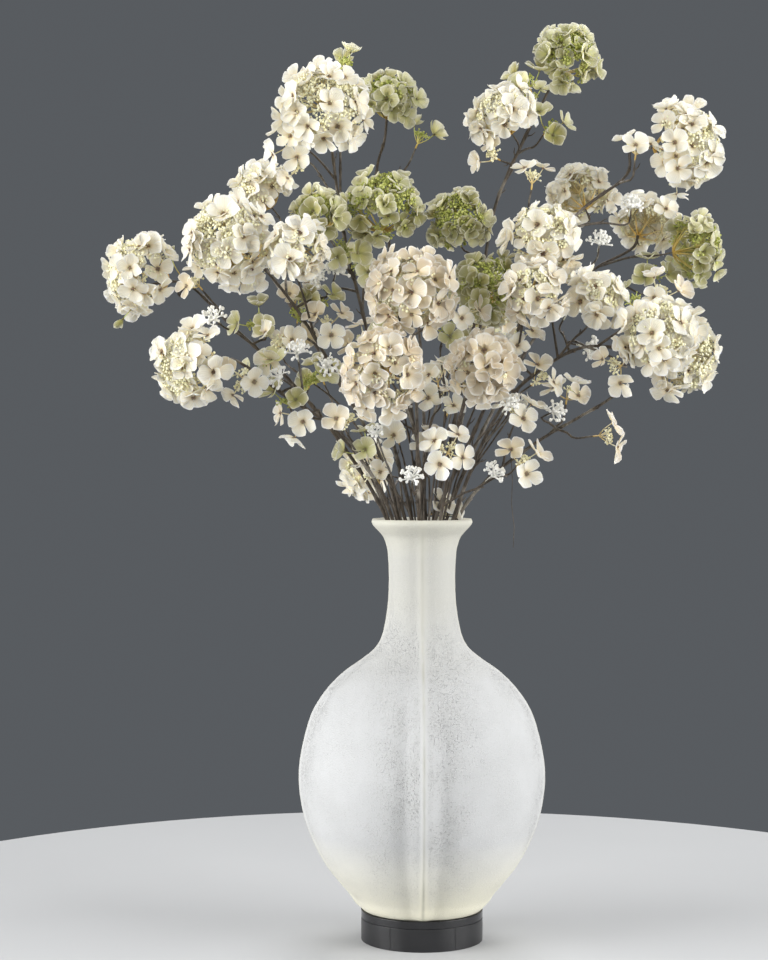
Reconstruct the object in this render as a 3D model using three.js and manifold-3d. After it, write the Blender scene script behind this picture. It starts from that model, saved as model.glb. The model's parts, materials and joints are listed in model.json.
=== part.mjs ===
// A white stone-textured vase on a low black stand, filled with fourteen branches of cream and green hydrangea.
// Millimetres, +Z up, seen from the front along +Y. The origin is the centre of the stand's underside.
// Each branch is one woody stem with its twigs. The blooms and the small sprigs of loose florets are pieces of
// their own, each seated on the tip of its twig with a hair of clearance.
import * as THREE from "three";
import { mergeVertices } from "three/addons/utils/BufferGeometryUtils.js";
import Module from "manifold-3d";

const wasm = await Module();
wasm.setup();

// Driving dimensions
const clearance = 0.3;
const stand = { radius: 67, drumHeight: 24.6, height: 33, chamfer: 1.2 };
const vaseFoot = stand.height + clearance;
const vaseFloor = vaseFoot + 13;
const rimHeight = 464;
// Outer profile of the vase on the crest of a ridge, radius and height, from the foot up to the rolled lip.
const vaseOutline = [
  [66, vaseFoot], [75.5, 42], [91, 62], [110, 87], [126.5, 122], [135.7, 164], [135.7, 196], [127.5, 232],
  [111.5, 268], [92, 290], [71, 306.5], [53.5, 320], [43, 340], [37.4, 376], [37.2, 416], [41.8, 440.5],
  [48.6, 451], [55.7, 459.5], [53, rimHeight],
];
// Inner wall, from the floor up to above the lip.
const vaseHollow = [
  [0, vaseFloor], [65, vaseFloor], [107, 100], [124.5, 160], [121.5, 220], [102, 264], [68.5, 296], [42.5, 318],
  [31, 352], [30, 412], [36, 441], [46, 456], [51, rimHeight + 1], [0, rimHeight + 1],
];
const ridge = { valleyDepth: 4.6, valleyAngle: 14, beadHeight: 2.4, beadHalfWidth: 3.4 };
// Degrees from a ridge's crest at which the wall has an edge, crowded where the wall turns fastest.
const ridgeSteps = [0, 1.8, 6, 14, 28, 45, 62, 76, 84, 88.2];

const stem = { footRadius: 3, tipRadius: 1.6, sides: 4, lead: 26 };
const twig = { rootRadius: 1.7, tipRadius: 1.2, sides: 3, lead: 20, steps: 3 };
const petal = { thickness: 1.8, notch: 0.45, spread: 24, cup: 0.24, pedicel: 2 };
const goldenAngle = THREE.MathUtils.degToRad(137.508);

const colours = {
  wall: 0xe9e6dc, lacquer: 0x2b2d2e, bark: 0x4a3d30, cream: 0xe9dfce, green: 0xb0b585, blush: 0xe6d6c6,
};
const finishes = {
  vase: { color: colours.wall, roughness: 0.92, metalness: 0 },
  stand: { color: colours.lacquer, roughness: 0.25, metalness: 0 },
  bark: { color: colours.bark, roughness: 0.8, metalness: 0 },
  cream: { color: colours.cream, roughness: 0.75, metalness: 0 },
  green: { color: colours.green, roughness: 0.75, metalness: 0 },
  blush: { color: colours.blush, roughness: 0.75, metalness: 0 },
};

// The branches. mouth is where the stem passes the rim, and way the points that it bends through above it.
// Each thing that a branch carries has its middle at, the way it faces, and from: 0 is the mouth, 1 the first
// point of way, and so on. The first thing carried sits on the stem's own tip.
const branches = [
  {
    name: "branch_01", mouth: [-41, -2], way: [[-84, -12, 540], [-142, -20, 612], [-211, -28, 678]],
    carries: [
      { name: "cream_bloom_01", at: [-297, -30, 728], faces: [-0.9, -0.4, 0.2], radius: 46 },
      { name: "sprig_01", at: [-246, -66, 722], faces: [-0.45, -0.7, 0.55], florets: 2, from: 3 },
      { buds: 26, at: [-222, -62, 679], faces: [-0.3, -0.7, 0.3], from: 2.6 },
    ],
  },
  {
    name: "branch_02", mouth: [-34, -23], way: [[-55, -38, 512], [-98, -56, 564], [-146, -78, 596]],
    carries: [
      { name: "cream_bloom_02", at: [-237, -124, 628], faces: [-0.85, -0.5, -0.1], radius: 42 },
      { name: "sprig_02", at: [-194, -118, 610], faces: [-0.3, -0.85, -0.3], florets: 3, from: 3.2 },
      { name: "sprig_03", at: [-139, -70, 566], faces: [-0.6, -0.6, -0.4], florets: 3, from: 2.2 },
      { name: "sprig_04", at: [-79, -112, 572], faces: [0.2, -0.9, 0.35], florets: 2, from: 1.3 },
      { buds: 26, at: [-133, -102, 640], faces: [-0.1, -0.7, 0.7], from: 2.6 },
    ],
  },
  {
    name: "branch_03", mouth: [-20, -6], way: [[-50, -18, 540], [-94, -36, 622], [-130, -52, 682], [-160, -66, 722]],
    carries: [
      { name: "cream_bloom_03", at: [-200, -104, 757], faces: [-0.4, -0.85, 0.3], radius: 47 },
      { name: "cream_bloom_04", at: [-177, 42, 825], faces: [-0.5, -0.4, 0.75], radius: 35, from: 3.5 },
      { name: "cream_bloom_06", at: [-132, -140, 745], faces: [0.2, -0.9, 0.2], radius: 29, from: 2.6 },
    ],
  },
  {
    name: "branch_04", mouth: [-12, 15], way: [[-32, 14, 548], [-60, 6, 668], [-86, 0, 778]],
    carries: [
      { name: "cream_bloom_05", at: [-106, -32, 903], faces: [-0.1, -0.9, 0.4], radius: 49 },
      { name: "green_bloom_03", at: [-110, -70, 785], faces: [-0.35, -0.65, 0.65], radius: 28, from: 2.5 },
      { name: "sprig_11", at: [-84, 34, 974], faces: [0.15, 0.15, 0.97], florets: 2, green: true, from: 3.2 },
    ],
  },
  {
    name: "branch_05", mouth: [4, 20], way: [[-8, 34, 560], [-26, 46, 690], [-40, 54, 800], [-50, 56, 850]],
    carries: [
      { name: "green_bloom_01", at: [-37, 60, 928], faces: [0.1, -0.45, 0.88], radius: 33 },
      { name: "green_bloom_02", at: [-43, -14, 797], faces: [0, -0.6, 0.8], radius: 46, from: 2.3 },
      { name: "sprig_13", at: [2, 72, 898], faces: [0.4, 0.1, 0.9], florets: 2, green: true, from: 3.2 },
    ],
  },
  {
    name: "branch_06", mouth: [-4, -40], way: [[-6, -60, 540], [-8, -74, 612]],
    carries: [
      { name: "cream_bloom_07", at: [-14, -132, 702], faces: [0, -0.9, 0.35], radius: 43 },
      { name: "cream_bloom_08", at: [-41, -176, 618], faces: [-0.12, -0.97, 0.12], radius: 40, from: 1.2 },
      { buds: 22, at: [-12, -84, 508], faces: [-0.1, -0.6, 0.8], from: 0.4 },
    ],
  },
  {
    name: "branch_07", mouth: [20, -34], way: [[32, -42, 540], [48, -44, 606]],
    carries: [
      { name: "green_bloom_05", at: [70, -50, 710], faces: [0.05, -0.85, 0.35], radius: 39 },
      { name: "cream_bloom_09", at: [61, -126, 624], faces: [0.15, -0.9, 0.2], radius: 33, from: 1.4 },
      { name: "sprig_05", at: [26, -114, 540], faces: [0.05, -0.95, 0.25], florets: 4, from: 0.5 },
      { buds: 22, at: [74, -58, 511], faces: [0.7, -0.3, 0.6], from: 0.15 },
    ],
  },
  {
    name: "branch_08", mouth: [16, 8], way: [[36, 12, 570], [62, 14, 700], [78, 14, 796], [98, 16, 850]],
    carries: [
      { name: "green_bloom_06", at: [159, 28, 970], faces: [0.35, -0.7, 0.6], radius: 37 },
      { name: "cream_bloom_12", at: [90, -16, 899], faces: [-0.45, -0.45, 0.77], radius: 34, from: 3.6 },
      { name: "green_bloom_04", at: [41, -6, 786], faces: [-0.1, -0.75, 0.6], radius: 35, from: 2.4 },
      { name: "sprig_12", at: [120, 66, 938], faces: [-0.1, 0.6, 0.8], florets: 3, green: true, from: 4.2 },
    ],
  },
  {
    name: "branch_09", mouth: [16, -12], way: [[60, -12, 566], [114, -4, 690], [164, 2, 790], [224, 10, 840]],
    carries: [
      { name: "cream_bloom_14", at: [281, 18, 875], faces: [0.93, -0.38, 0.03], radius: 50 },
      { name: "cream_bloom_13", at: [183, 78, 825], faces: [-0.15, 0.6, 0.75], radius: 35, from: 2.7 },
      { name: "cream_bloom_10", at: [128, -60, 762], faces: [0.1, -0.75, 0.6], radius: 40, from: 2.2 },
      { name: "sprig_10", at: [234, -20, 874], faces: [0.1, -0.35, 0.93], florets: 3, from: 3.6 },
    ],
  },
  {
    name: "branch_10", mouth: [35, -20], way: [[62, -30, 540], [92, -42, 594], [136, -56, 632], [180, -66, 650]],
    carries: [
      { name: "cream_bloom_16", at: [243, -120, 657], faces: [-0.05, -0.92, 0.35], radius: 40 },
      { name: "cream_bloom_17", at: [273, -20, 644], faces: [0.88, -0.45, 0.1], radius: 47, from: 4.3 },
      { name: "cream_bloom_18", at: [181, -100, 695], faces: [0.2, -0.65, 0.7], radius: 30, from: 3.2 },
      { name: "cream_bloom_11", at: [113, -130, 703], faces: [0.1, -0.9, 0.15], radius: 31, from: 2.1 },
    ],
  },
  {
    name: "branch_11", mouth: [29, 28], way: [[70, 54, 562], [128, 82, 664], [186, 100, 736]],
    carries: [
      { name: "cream_bloom_15", at: [258, 121, 797], faces: [0.4, 0.6, 0.65], radius: 35 },
      { name: "green_bloom_07", at: [303, 69, 766], faces: [0.93, 0.25, 0.2], radius: 39, from: 3.3 },
      { buds: 26, at: [200, 52, 770], faces: [0.1, -0.6, 0.8], from: 2.7 },
      { buds: 26, at: [178, 160, 742], faces: [-0.2, 0.8, 0.6], from: 2.4 },
    ],
  },
  {
    name: "branch_12", mouth: [42, 4], way: [[74, 0, 508], [126, -14, 548], [166, -22, 572]],
    carries: [
      { buds: 3, at: [216, -30, 604], faces: [0.7, -0.1, 0.5] },
      { name: "sprig_06", at: [108, -72, 530], faces: [0.35, -0.75, 0.4], florets: 3, from: 0.8 },
      { name: "sprig_07", at: [104, -62, 584], faces: [0.25, -0.6, 0.75], florets: 3, from: 1.3 },
      { name: "sprig_08", at: [158, -36, 606], faces: [0.1, -0.5, 0.85], florets: 3, from: 2.3 },
      { name: "sprig_09", at: [202, -58, 556], faces: [0.92, -0.3, 0.1], florets: 2, from: 2.5 },
    ],
  },
  {
    name: "branch_13", mouth: [-27, 29], way: [[-45, 50, 530], [-84, 90, 600]],
    carries: [
      { name: "cream_bloom_22", at: [-199, 130, 762], faces: [-0.5, 0.8, 0.35], radius: 37 },
      { name: "cream_bloom_19", at: [-57, 98, 514], faces: [-0.85, -0.25, 0.2], radius: 30, from: 0.35 },
    ],
  },
  {
    name: "branch_14", mouth: [2, 41], way: [[4, 70, 540], [2, 100, 630]],
    carries: [
      { name: "cream_bloom_20", at: [-8, 160, 723], faces: [-0.1, 0.8, 0.6], radius: 41 },
      { name: "cream_bloom_21", at: [79, 170, 707], faces: [0.4, 0.85, 0.35], radius: 37, from: 1.1 },
    ],
  },
];

// A small seeded random source, so that every build places the same florets.
function randomFrom(seed) {
  let state = seed >>> 0;
  return () => {
    state = (state + 0x6d2b79f5) >>> 0;
    let mixed = Math.imul(state ^ (state >>> 15), state | 1);
    mixed ^= mixed + Math.imul(mixed ^ (mixed >>> 7), mixed | 61);
    return ((mixed ^ (mixed >>> 14)) >>> 0) / 4294967296;
  };
}

// Solids: between three.js geometries and manifold solids
function solidFrom(geometry) {
  const bare = geometry.clone();
  for (const name of Object.keys(bare.attributes)) {
    if (name !== "position") bare.deleteAttribute(name);
  }
  const merged = mergeVertices(bare, 1e-4);
  return new wasm.Manifold(
    new wasm.Mesh({
      numProp: 3,
      vertProperties: merged.attributes.position.array,
      triVerts: new Uint32Array(merged.index.array),
    }),
  );
}

function solidOfFaces(points, faces) {
  const geometry = new THREE.BufferGeometry();
  geometry.setAttribute("position", new THREE.Float32BufferAttribute(points.flat(), 3));
  geometry.setIndex(faces.flat());
  return solidFrom(geometry);
}

// One closed body, without the slivers that joining leaves. A piece that isn't joined on is a mistake.
function joined(solid, name) {
  const bodies = solid.decompose();
  if (bodies.length !== 1) throw new Error(name + " is " + bodies.length + " loose pieces");
  return bodies[0].simplify(0.1);
}

function meshOf(name, solid, finish) {
  const made = solid.getMesh();
  const positions = new Float32Array(made.numVert * 3);
  for (let i = 0; i < made.numVert; i++) {
    positions.set(made.vertProperties.subarray(i * made.numProp, i * made.numProp + 3), i * 3);
  }
  const geometry = new THREE.BufferGeometry();
  geometry.setAttribute("position", new THREE.BufferAttribute(positions, 3));
  geometry.setIndex(new THREE.BufferAttribute(made.triVerts, 1));
  geometry.computeVertexNormals();
  const mesh = new THREE.Mesh(geometry, new THREE.MeshStandardMaterial(finish));
  mesh.name = name;
  return mesh;
}

// Stand: a drum and the plate on it, both turned
function turned(profile, segments) {
  const points = profile.map(([radius, height]) => new THREE.Vector2(radius, height));
  const geometry = new THREE.LatheGeometry(points, segments);
  geometry.rotateX(Math.PI / 2);
  return solidFrom(geometry);
}

function discSolid(bottom, top) {
  const { radius, chamfer } = stand;
  return turned(
    [[0, bottom], [radius - chamfer, bottom], [radius, bottom + chamfer], [radius, top - chamfer],
      [radius - chamfer, top], [0, top]],
    28,
  );
}

// Vase: rings of the outer profile, with a beaded ridge between two shallow valleys on four sides, less a round
// hollow
function wallRadius(radius, height, degrees) {
  const fromCrest = Math.abs(((degrees + 45) % 90) - 45);
  const fullness = THREE.MathUtils.clamp((radius - 34) / 90, 0, 1);
  const fade = THREE.MathUtils.smoothstep(rimHeight - height, 14, 60);
  const valley = ridge.valleyDepth * (0.2 + 0.8 * fullness) * Math.exp(-((fromCrest / ridge.valleyAngle) ** 2));
  const beadAngle = THREE.MathUtils.radToDeg(ridge.beadHalfWidth / radius);
  const bead = (ridge.beadHeight + valley) * Math.exp(-((fromCrest / beadAngle) ** 2));
  return radius + fade * (bead - valley - ridge.beadHeight);
}

function vaseSolid() {
  const angles = [0, 1, 2, 3].flatMap((side) => ridgeSteps.map((step) => side * 90 + step));
  const columns = angles.length;
  const points = [];
  for (const [radius, height] of vaseOutline) {
    for (const degrees of angles) {
      const r = wallRadius(radius, height, degrees);
      const turn = THREE.MathUtils.degToRad(degrees);
      points.push([r * Math.cos(turn), r * Math.sin(turn), height]);
    }
  }
  const faces = [];
  for (let row = 0; row < vaseOutline.length - 1; row++) {
    for (let column = 0; column < columns; column++) {
      const next = (column + 1) % columns;
      const [a, b] = [row * columns + column, row * columns + next];
      const [c, d] = [a + columns, b + columns];
      faces.push([a, b, d], [a, d, c]);
    }
  }
  const [bottom, top] = [points.length, points.length + 1];
  points.push([0, 0, vaseFoot], [0, 0, rimHeight]);
  const lastRow = (vaseOutline.length - 1) * columns;
  for (let column = 0; column < columns; column++) {
    const next = (column + 1) % columns;
    faces.push([bottom, next, column], [top, lastRow + column, lastRow + next]);
  }
  return solidOfFaces(points, faces).subtract(turned(vaseHollow, 14));
}

// Stems: a closed tube that tapers along a smooth curve
function taperedTube(curve, rootRadius, tipRadius, sides, steps) {
  const points = [];
  const frames = curve.computeFrenetFrames(steps, false);
  for (let i = 0; i <= steps; i++) {
    const centre = curve.getPointAt(i / steps);
    const radius = THREE.MathUtils.lerp(rootRadius, tipRadius, i / steps);
    for (let k = 0; k < sides; k++) {
      const turn = (k / sides) * Math.PI * 2;
      points.push(
        centre.clone()
          .addScaledVector(frames.normals[i], radius * Math.cos(turn))
          .addScaledVector(frames.binormals[i], radius * Math.sin(turn))
          .toArray(),
      );
    }
  }
  const faces = [];
  for (let i = 0; i < steps; i++) {
    for (let k = 0; k < sides; k++) {
      const next = (k + 1) % sides;
      const [a, b] = [i * sides + k, i * sides + next];
      faces.push([a, b, b + sides], [a, b + sides, a + sides]);
    }
  }
  const lastRing = steps * sides;
  for (let k = 1; k < sides - 1; k++) {
    faces.push([0, k + 1, k], [lastRing, lastRing + k, lastRing + k + 1]);
  }
  return solidOfFaces(points, faces);
}

// Where a carried thing meets its twig: behind its middle, by a share of its size.
function jointOf(thing) {
  const facing = new THREE.Vector3(...thing.faces).normalize();
  const back = thing.radius ? bloomDepth * thing.radius : thing.florets ? sprigDepth : 0;
  return { facing, point: new THREE.Vector3(...thing.at).addScaledVector(facing, -back) };
}

const bloomDepth = 0.5;
const sprigDepth = 20;

function stemCurve(branch) {
  const [x, y] = branch.mouth;
  const { facing, point } = jointOf(branch.carries[0]);
  const tip = point.clone().addScaledVector(facing, -clearance);
  const points = [
    new THREE.Vector3(x * 0.75, y * 0.75, vaseFloor + clearance),
    new THREE.Vector3(x * 0.5, y * 0.5, 335),
    new THREE.Vector3(x * 0.5, y * 0.5, 405),
    new THREE.Vector3(x, y, rimHeight + 4),
    ...branch.way.map((p) => new THREE.Vector3(...p)),
    tip.clone().addScaledVector(facing, -stem.lead),
    tip,
  ];
  return new THREE.CatmullRomCurve3(points, false, "catmullrom", 0.5);
}

// The middle of the tube's ring that is nearest to a place along the way, so that a twig starts inside the wood.
function ringNear(curve, steps, from) {
  const wanted = curve.getPoint((from + 3) / (curve.points.length - 1));
  let nearest = curve.getPointAt(0);
  for (let i = 1; i <= steps; i++) {
    const ring = curve.getPointAt(i / steps);
    if (ring.distanceTo(wanted) < nearest.distanceTo(wanted)) nearest = ring;
  }
  return nearest;
}

function twigCurve(root, thing) {
  const { facing, point } = jointOf(thing);
  const tip = point.clone().addScaledVector(facing, -clearance);
  const shoulder = tip.clone().addScaledVector(facing, -twig.lead);
  const middle = root.clone().lerp(shoulder, 0.55).add(new THREE.Vector3(0, 0, root.distanceTo(shoulder) * 0.05));
  return new THREE.CatmullRomCurve3([root, middle, shoulder, tip], false, "catmullrom", 0.5);
}

// A tiny spray of buds on short stalks, spread like a fan, at the end of a twig.
function budSpray(thing, root, facing, random) {
  const turn = new THREE.Quaternion().setFromUnitVectors(new THREE.Vector3(0, 0, 1), facing);
  const stalks = [];
  const count = Math.min(5, thing.buds);
  for (let i = 0; i < count; i++) {
    const polar = THREE.MathUtils.degToRad(12 + 52 * Math.sqrt((i + 0.5) / count));
    const azimuth = i * goldenAngle + random();
    const reach = 13 + 5 * random();
    const way = new THREE.Vector3(
      Math.sin(polar) * Math.cos(azimuth), Math.sin(polar) * Math.sin(azimuth), Math.cos(polar),
    ).applyQuaternion(turn);
    stalks.push(clubSolid(root, way, reach * 0.85, reach, 1.9));
  }
  return stalks;
}

// A three-sided club: a point at its root, widest at shoulder and pointed again at reach.
function clubSolid(root, way, shoulder, reach, width) {
  const side = new THREE.Vector3(0, 0, 1);
  if (Math.abs(way.z) > 0.9) side.set(1, 0, 0);
  side.cross(way).normalize();
  const points = [root.toArray()];
  for (let k = 0; k < 3; k++) {
    const around = side.clone().applyAxisAngle(way, (k / 3) * Math.PI * 2);
    points.push(root.clone().addScaledVector(way, shoulder).addScaledVector(around, width).toArray());
  }
  points.push(root.clone().addScaledVector(way, reach).toArray());
  return solidOfFaces(points, [[0, 2, 1], [0, 3, 2], [0, 1, 3], [4, 1, 2], [4, 2, 3], [4, 3, 1]]);
}

function branchSolid(branch, index) {
  const random = randomFrom(400 + index);
  const curve = stemCurve(branch);
  const steps = Math.round(1.25 * curve.points.length);
  let solid = taperedTube(curve, stem.footRadius, stem.tipRadius, stem.sides, steps);
  for (const thing of branch.carries) {
    let [wood, rings] = [curve, steps];
    if (thing.from !== undefined) {
      [wood, rings] = [twigCurve(ringNear(curve, steps, thing.from), thing), twig.steps];
      solid = solid.add(taperedTube(wood, twig.rootRadius, twig.tipRadius, twig.sides, rings));
    }
    if (thing.buds) {
      const root = wood.getPointAt(1).lerp(wood.getPointAt(1 - 1 / rings), 0.15);
      for (const stalk of budSpray(thing, root, jointOf(thing).facing, random)) solid = solid.add(stalk);
    }
  }
  return joined(solid, branch.name);
}

// Florets: four blunt petals in one thin cupped blade, on a three-sided pedicel that ends in a point at root
function floretSolid(centre, facing, root, radius, spin, random) {
  const turn = new THREE.Quaternion().setFromUnitVectors(new THREE.Vector3(0, 0, 1), facing);
  const place = (x, y, z) => new THREE.Vector3(x, y, z).applyQuaternion(turn).add(centre).toArray();
  const rim = [];
  for (let k = 0; k < 4; k++) {
    const middle = spin + (k * Math.PI) / 2;
    const reach = radius * (0.92 + 0.16 * random());
    const lift = radius * petal.cup * (0.6 + 0.8 * random());
    const spread = THREE.MathUtils.degToRad(petal.spread);
    for (const side of [-1, 1]) {
      const angle = middle + side * spread;
      rim.push(place(reach * Math.cos(angle), reach * Math.sin(angle), lift + side * 0.06 * radius));
    }
    const notch = middle + Math.PI / 4;
    rim.push(place(radius * petal.notch * Math.cos(notch), radius * petal.notch * Math.sin(notch), 0.05 * radius));
  }
  const neck = [0, 1, 2].map((k) => {
    const angle = spin + ((k * 2 + 0.2) * Math.PI) / 3;
    return place(petal.pedicel * Math.cos(angle), petal.pedicel * Math.sin(angle), -petal.thickness);
  });
  const points = [centre.toArray(), ...rim, ...neck, root.toArray()];
  const faces = [];
  for (let k = 0; k < 12; k++) {
    const [a, b] = [1 + k, 1 + ((k + 1) % 12)];
    faces.push([0, a, b], [b, a, 13 + Math.floor(k / 4)]);
  }
  for (let k = 0; k < 3; k++) {
    const [here, next] = [13 + k, 13 + ((k + 1) % 3)];
    faces.push([here, next, 1 + (((k + 1) * 4) % 12)], [16, next, here]);
  }
  return solidOfFaces(points, faces);
}

// Directions over a cap, by the golden angle, from the middle out to the widest polar angle.
function capDirections(count, widest, phase, random, jitter) {
  const found = [];
  for (let i = 0; i < count; i++) {
    const share = (i + 0.5) / count;
    const polar = Math.acos(1 - share * (1 - Math.cos(widest))) + jitter * (random() - 0.5);
    const azimuth = phase + i * goldenAngle + jitter * (random() - 0.5);
    found.push(
      new THREE.Vector3(Math.sin(polar) * Math.cos(azimuth), Math.sin(polar) * Math.sin(azimuth), Math.cos(polar)),
    );
  }
  return found;
}

// Blooms: a domed core on a point, florets that stand out of it, and buds between them
function bloomSolid(thing, seed) {
  const random = randomFrom(seed);
  const { facing, point } = jointOf(thing);
  const R = thing.radius;
  const green = thing.name.startsWith("green");
  const turn = new THREE.Quaternion().setFromUnitVectors(new THREE.Vector3(0, 0, 1), facing);
  const core = turned(
    [[0, 0], [2.4, 0], [0.54 * R, 0.34 * R], [0.56 * R, 0.72 * R], [0, 1.08 * R]],
    5,
  ).transform(new THREE.Matrix4().compose(point, turn, new THREE.Vector3(1, 1, 1)).toArray());
  const middle = point.clone().addScaledVector(facing, bloomDepth * R);
  const count = Math.round(R / 5.6);
  const size = green ? 16.5 : 18.5;
  const phase = random() * Math.PI * 2;
  let solid = core;
  for (const local of capDirections(count, THREE.MathUtils.degToRad(98), phase, random, 0.16)) {
    const way = local.clone().applyQuaternion(turn);
    const centre = middle.clone().addScaledVector(way, R * (0.84 + 0.1 * random()));
    const tilt = new THREE.Vector3(random() - 0.5, random() - 0.5, random() - 0.5).multiplyScalar(0.5);
    const outward = way.clone().add(tilt).normalize();
    const root = middle.clone().addScaledVector(way, 0.3 * R);
    const floret = floretSolid(centre, outward, root, size * (0.9 + 0.2 * random()), random() * 1.6, random);
    solid = solid.add(floret);
  }
  const buds = green ? 6 : 4;
  for (const local of capDirections(buds, THREE.MathUtils.degToRad(85), phase + 1.2, random, 0.3)) {
    const way = local.clone().applyQuaternion(turn);
    solid = solid.add(clubSolid(middle.clone().addScaledVector(way, 0.36 * R), way, 0.44 * R, 0.52 * R, 3.4));
  }
  return joined(solid, thing.name);
}

// Sprigs: a few florets on long pedicels from one calyx at the end of a twig
function sprigSolid(thing, seed) {
  const random = randomFrom(seed);
  const { facing, point } = jointOf(thing);
  const turn = new THREE.Quaternion().setFromUnitVectors(new THREE.Vector3(0, 0, 1), facing);
  let solid = turned([[0, 0], [1.6, 0], [2.6, 6], [0, 12]], 4).transform(
    new THREE.Matrix4().compose(point, turn, new THREE.Vector3(1, 1, 1)).toArray(),
  );
  const hub = point.clone().addScaledVector(facing, 6);
  const polar = THREE.MathUtils.degToRad(thing.florets > 2 ? 52 : 36);
  const phase = random() * Math.PI * 2;
  for (let i = 0; i < thing.florets; i++) {
    const azimuth = phase + (i / thing.florets) * Math.PI * 2;
    const way = new THREE.Vector3(
      Math.sin(polar) * Math.cos(azimuth), Math.sin(polar) * Math.sin(azimuth), Math.cos(polar),
    ).applyQuaternion(turn);
    const centre = hub.clone().addScaledVector(way, 20 + 4 * random());
    const outward = way.clone().lerp(facing, 0.35).normalize();
    solid = solid.add(floretSolid(centre, outward, hub, 16.5, random() * 1.6, random));
  }
  return joined(solid, thing.name);
}

const bouquet = new THREE.Group();
bouquet.add(meshOf("stand_drum", discSolid(0, stand.drumHeight), finishes.stand));
bouquet.add(meshOf("stand_plate", discSolid(stand.drumHeight + clearance, stand.height), finishes.stand));
bouquet.add(meshOf("vase", vaseSolid(), finishes.vase));
branches.forEach((branch, index) => {
  const group = new THREE.Group();
  group.add(meshOf(branch.name, branchSolid(branch, index), finishes.bark));
  branch.carries.forEach((thing, place) => {
    const seed = 1000 + index * 20 + place;
    if (thing.radius) {
      const finish = thing.name.startsWith("green") ? finishes.green : finishes.cream;
      group.add(meshOf(thing.name, bloomSolid(thing, seed), finish));
    } else if (thing.florets) {
      group.add(meshOf(thing.name, sprigSolid(thing, seed), thing.green ? finishes.green : finishes.blush));
    }
  });
  bouquet.add(group);
});

export default bouquet;
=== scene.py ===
# Hydrangeas in a vase: a ridged, white stone-textured bottle vase on a black stand, full of cream and green
# lacecap sprays. Metres, +Z up, front towards -Y. The layout tables are in millimetres.
import json
import math

import bpy
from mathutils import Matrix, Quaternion, Vector

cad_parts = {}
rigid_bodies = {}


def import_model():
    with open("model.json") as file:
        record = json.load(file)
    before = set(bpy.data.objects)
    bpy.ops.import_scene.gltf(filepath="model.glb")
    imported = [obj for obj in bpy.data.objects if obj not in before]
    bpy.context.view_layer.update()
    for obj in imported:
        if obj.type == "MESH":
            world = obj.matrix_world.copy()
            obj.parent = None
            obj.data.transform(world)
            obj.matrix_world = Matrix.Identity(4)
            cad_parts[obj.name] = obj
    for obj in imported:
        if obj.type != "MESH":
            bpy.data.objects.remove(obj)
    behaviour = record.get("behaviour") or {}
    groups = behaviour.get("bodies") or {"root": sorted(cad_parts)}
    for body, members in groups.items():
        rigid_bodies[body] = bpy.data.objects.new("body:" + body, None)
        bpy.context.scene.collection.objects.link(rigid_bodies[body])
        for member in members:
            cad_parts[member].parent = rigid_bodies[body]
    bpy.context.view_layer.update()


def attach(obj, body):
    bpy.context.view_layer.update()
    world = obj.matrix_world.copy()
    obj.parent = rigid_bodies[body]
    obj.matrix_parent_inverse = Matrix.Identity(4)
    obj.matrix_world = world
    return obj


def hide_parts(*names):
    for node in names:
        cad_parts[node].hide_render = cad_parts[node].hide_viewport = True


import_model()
scene = bpy.context.scene
mm = 0.001
up = Vector((0, 0, 1))
goldenAngle = math.radians(137.508)

# Camera
cameraSettings = {"place": (-0.0418, -2.287, 0.5445), "lens": 77.96, "sensor": 36, "tiltDown": 0.965}


def makeCamera(s):
    camera = bpy.data.objects.new("camera", bpy.data.cameras.new("camera"))
    scene.collection.objects.link(camera)
    camera.location = s["place"]
    camera.rotation_euler = (math.radians(90 - s["tiltDown"]), 0, 0)
    camera.data.lens = s["lens"]
    camera.data.sensor_width = s["sensor"]
    scene.camera = camera


makeCamera(cameraSettings)
print("camera placed")


# Seeded random numbers, the same draw on every run
def randomFrom(seed):
    state = seed & 0xFFFFFFFF

    def draw():
        nonlocal state
        state = (state + 0x6D2B79F5) & 0xFFFFFFFF
        mixed = ((state ^ (state >> 15)) * (state | 1)) & 0xFFFFFFFF
        mixed ^= (mixed + (((mixed ^ (mixed >> 7)) * (mixed | 61)) & 0xFFFFFFFF)) & 0xFFFFFFFF
        return ((mixed ^ (mixed >> 14)) & 0xFFFFFFFF) / 4294967296

    return draw


def vary(random, least, spread):
    return least + spread * random()


# Node helpers
class Value:
    # an output of a node; sums of it and plain numbers become Math nodes
    def __init__(self, socket):
        self.socket = socket
        self.tree = socket.id_data

    def __add__(self, other):
        return calc("ADD", self, other)

    def __sub__(self, other):
        return calc("SUBTRACT", self, other)

    def __rsub__(self, other):
        return calc("SUBTRACT", other, self)

    def __mul__(self, other):
        return calc("MULTIPLY", self, other)

    def __truediv__(self, other):
        return calc("DIVIDE", self, other)

    __radd__ = __add__
    __rmul__ = __mul__


def plug(source, target):
    # source is a Value, or a plain number, colour or data block
    if isinstance(source, Value):
        source.tree.links.new(source.socket, target)
    else:
        target.default_value = source


def wire(tree, kind, inputs=None, output=0, **settings):
    # adds one node and gives its output, or several of them where output is a tuple
    node = tree.nodes.new(kind)
    for name, value in settings.items():
        setattr(node, name, value)
    for name, value in (inputs or {}).items():
        plug(value, node.inputs[name])
    if isinstance(output, tuple):
        return [Value(node.outputs[name]) for name in output]
    return Value(node.outputs[output])


def calc(operation, *values, clamp=False):
    tree = next(value.tree for value in values if isinstance(value, Value))
    return wire(tree, "ShaderNodeMath", dict(enumerate(values)), operation=operation, use_clamp=clamp)


def absolute(value):
    return calc("ABSOLUTE", value)


def split(vector):
    return wire(vector.tree, "ShaderNodeSeparateXYZ", {0: vector}, ("X", "Y", "Z"))


def readAttribute(tree, name, kind="FLOAT"):
    return wire(tree, "GeometryNodeInputNamedAttribute", {"Name": name}, "Attribute", data_type=kind)


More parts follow.
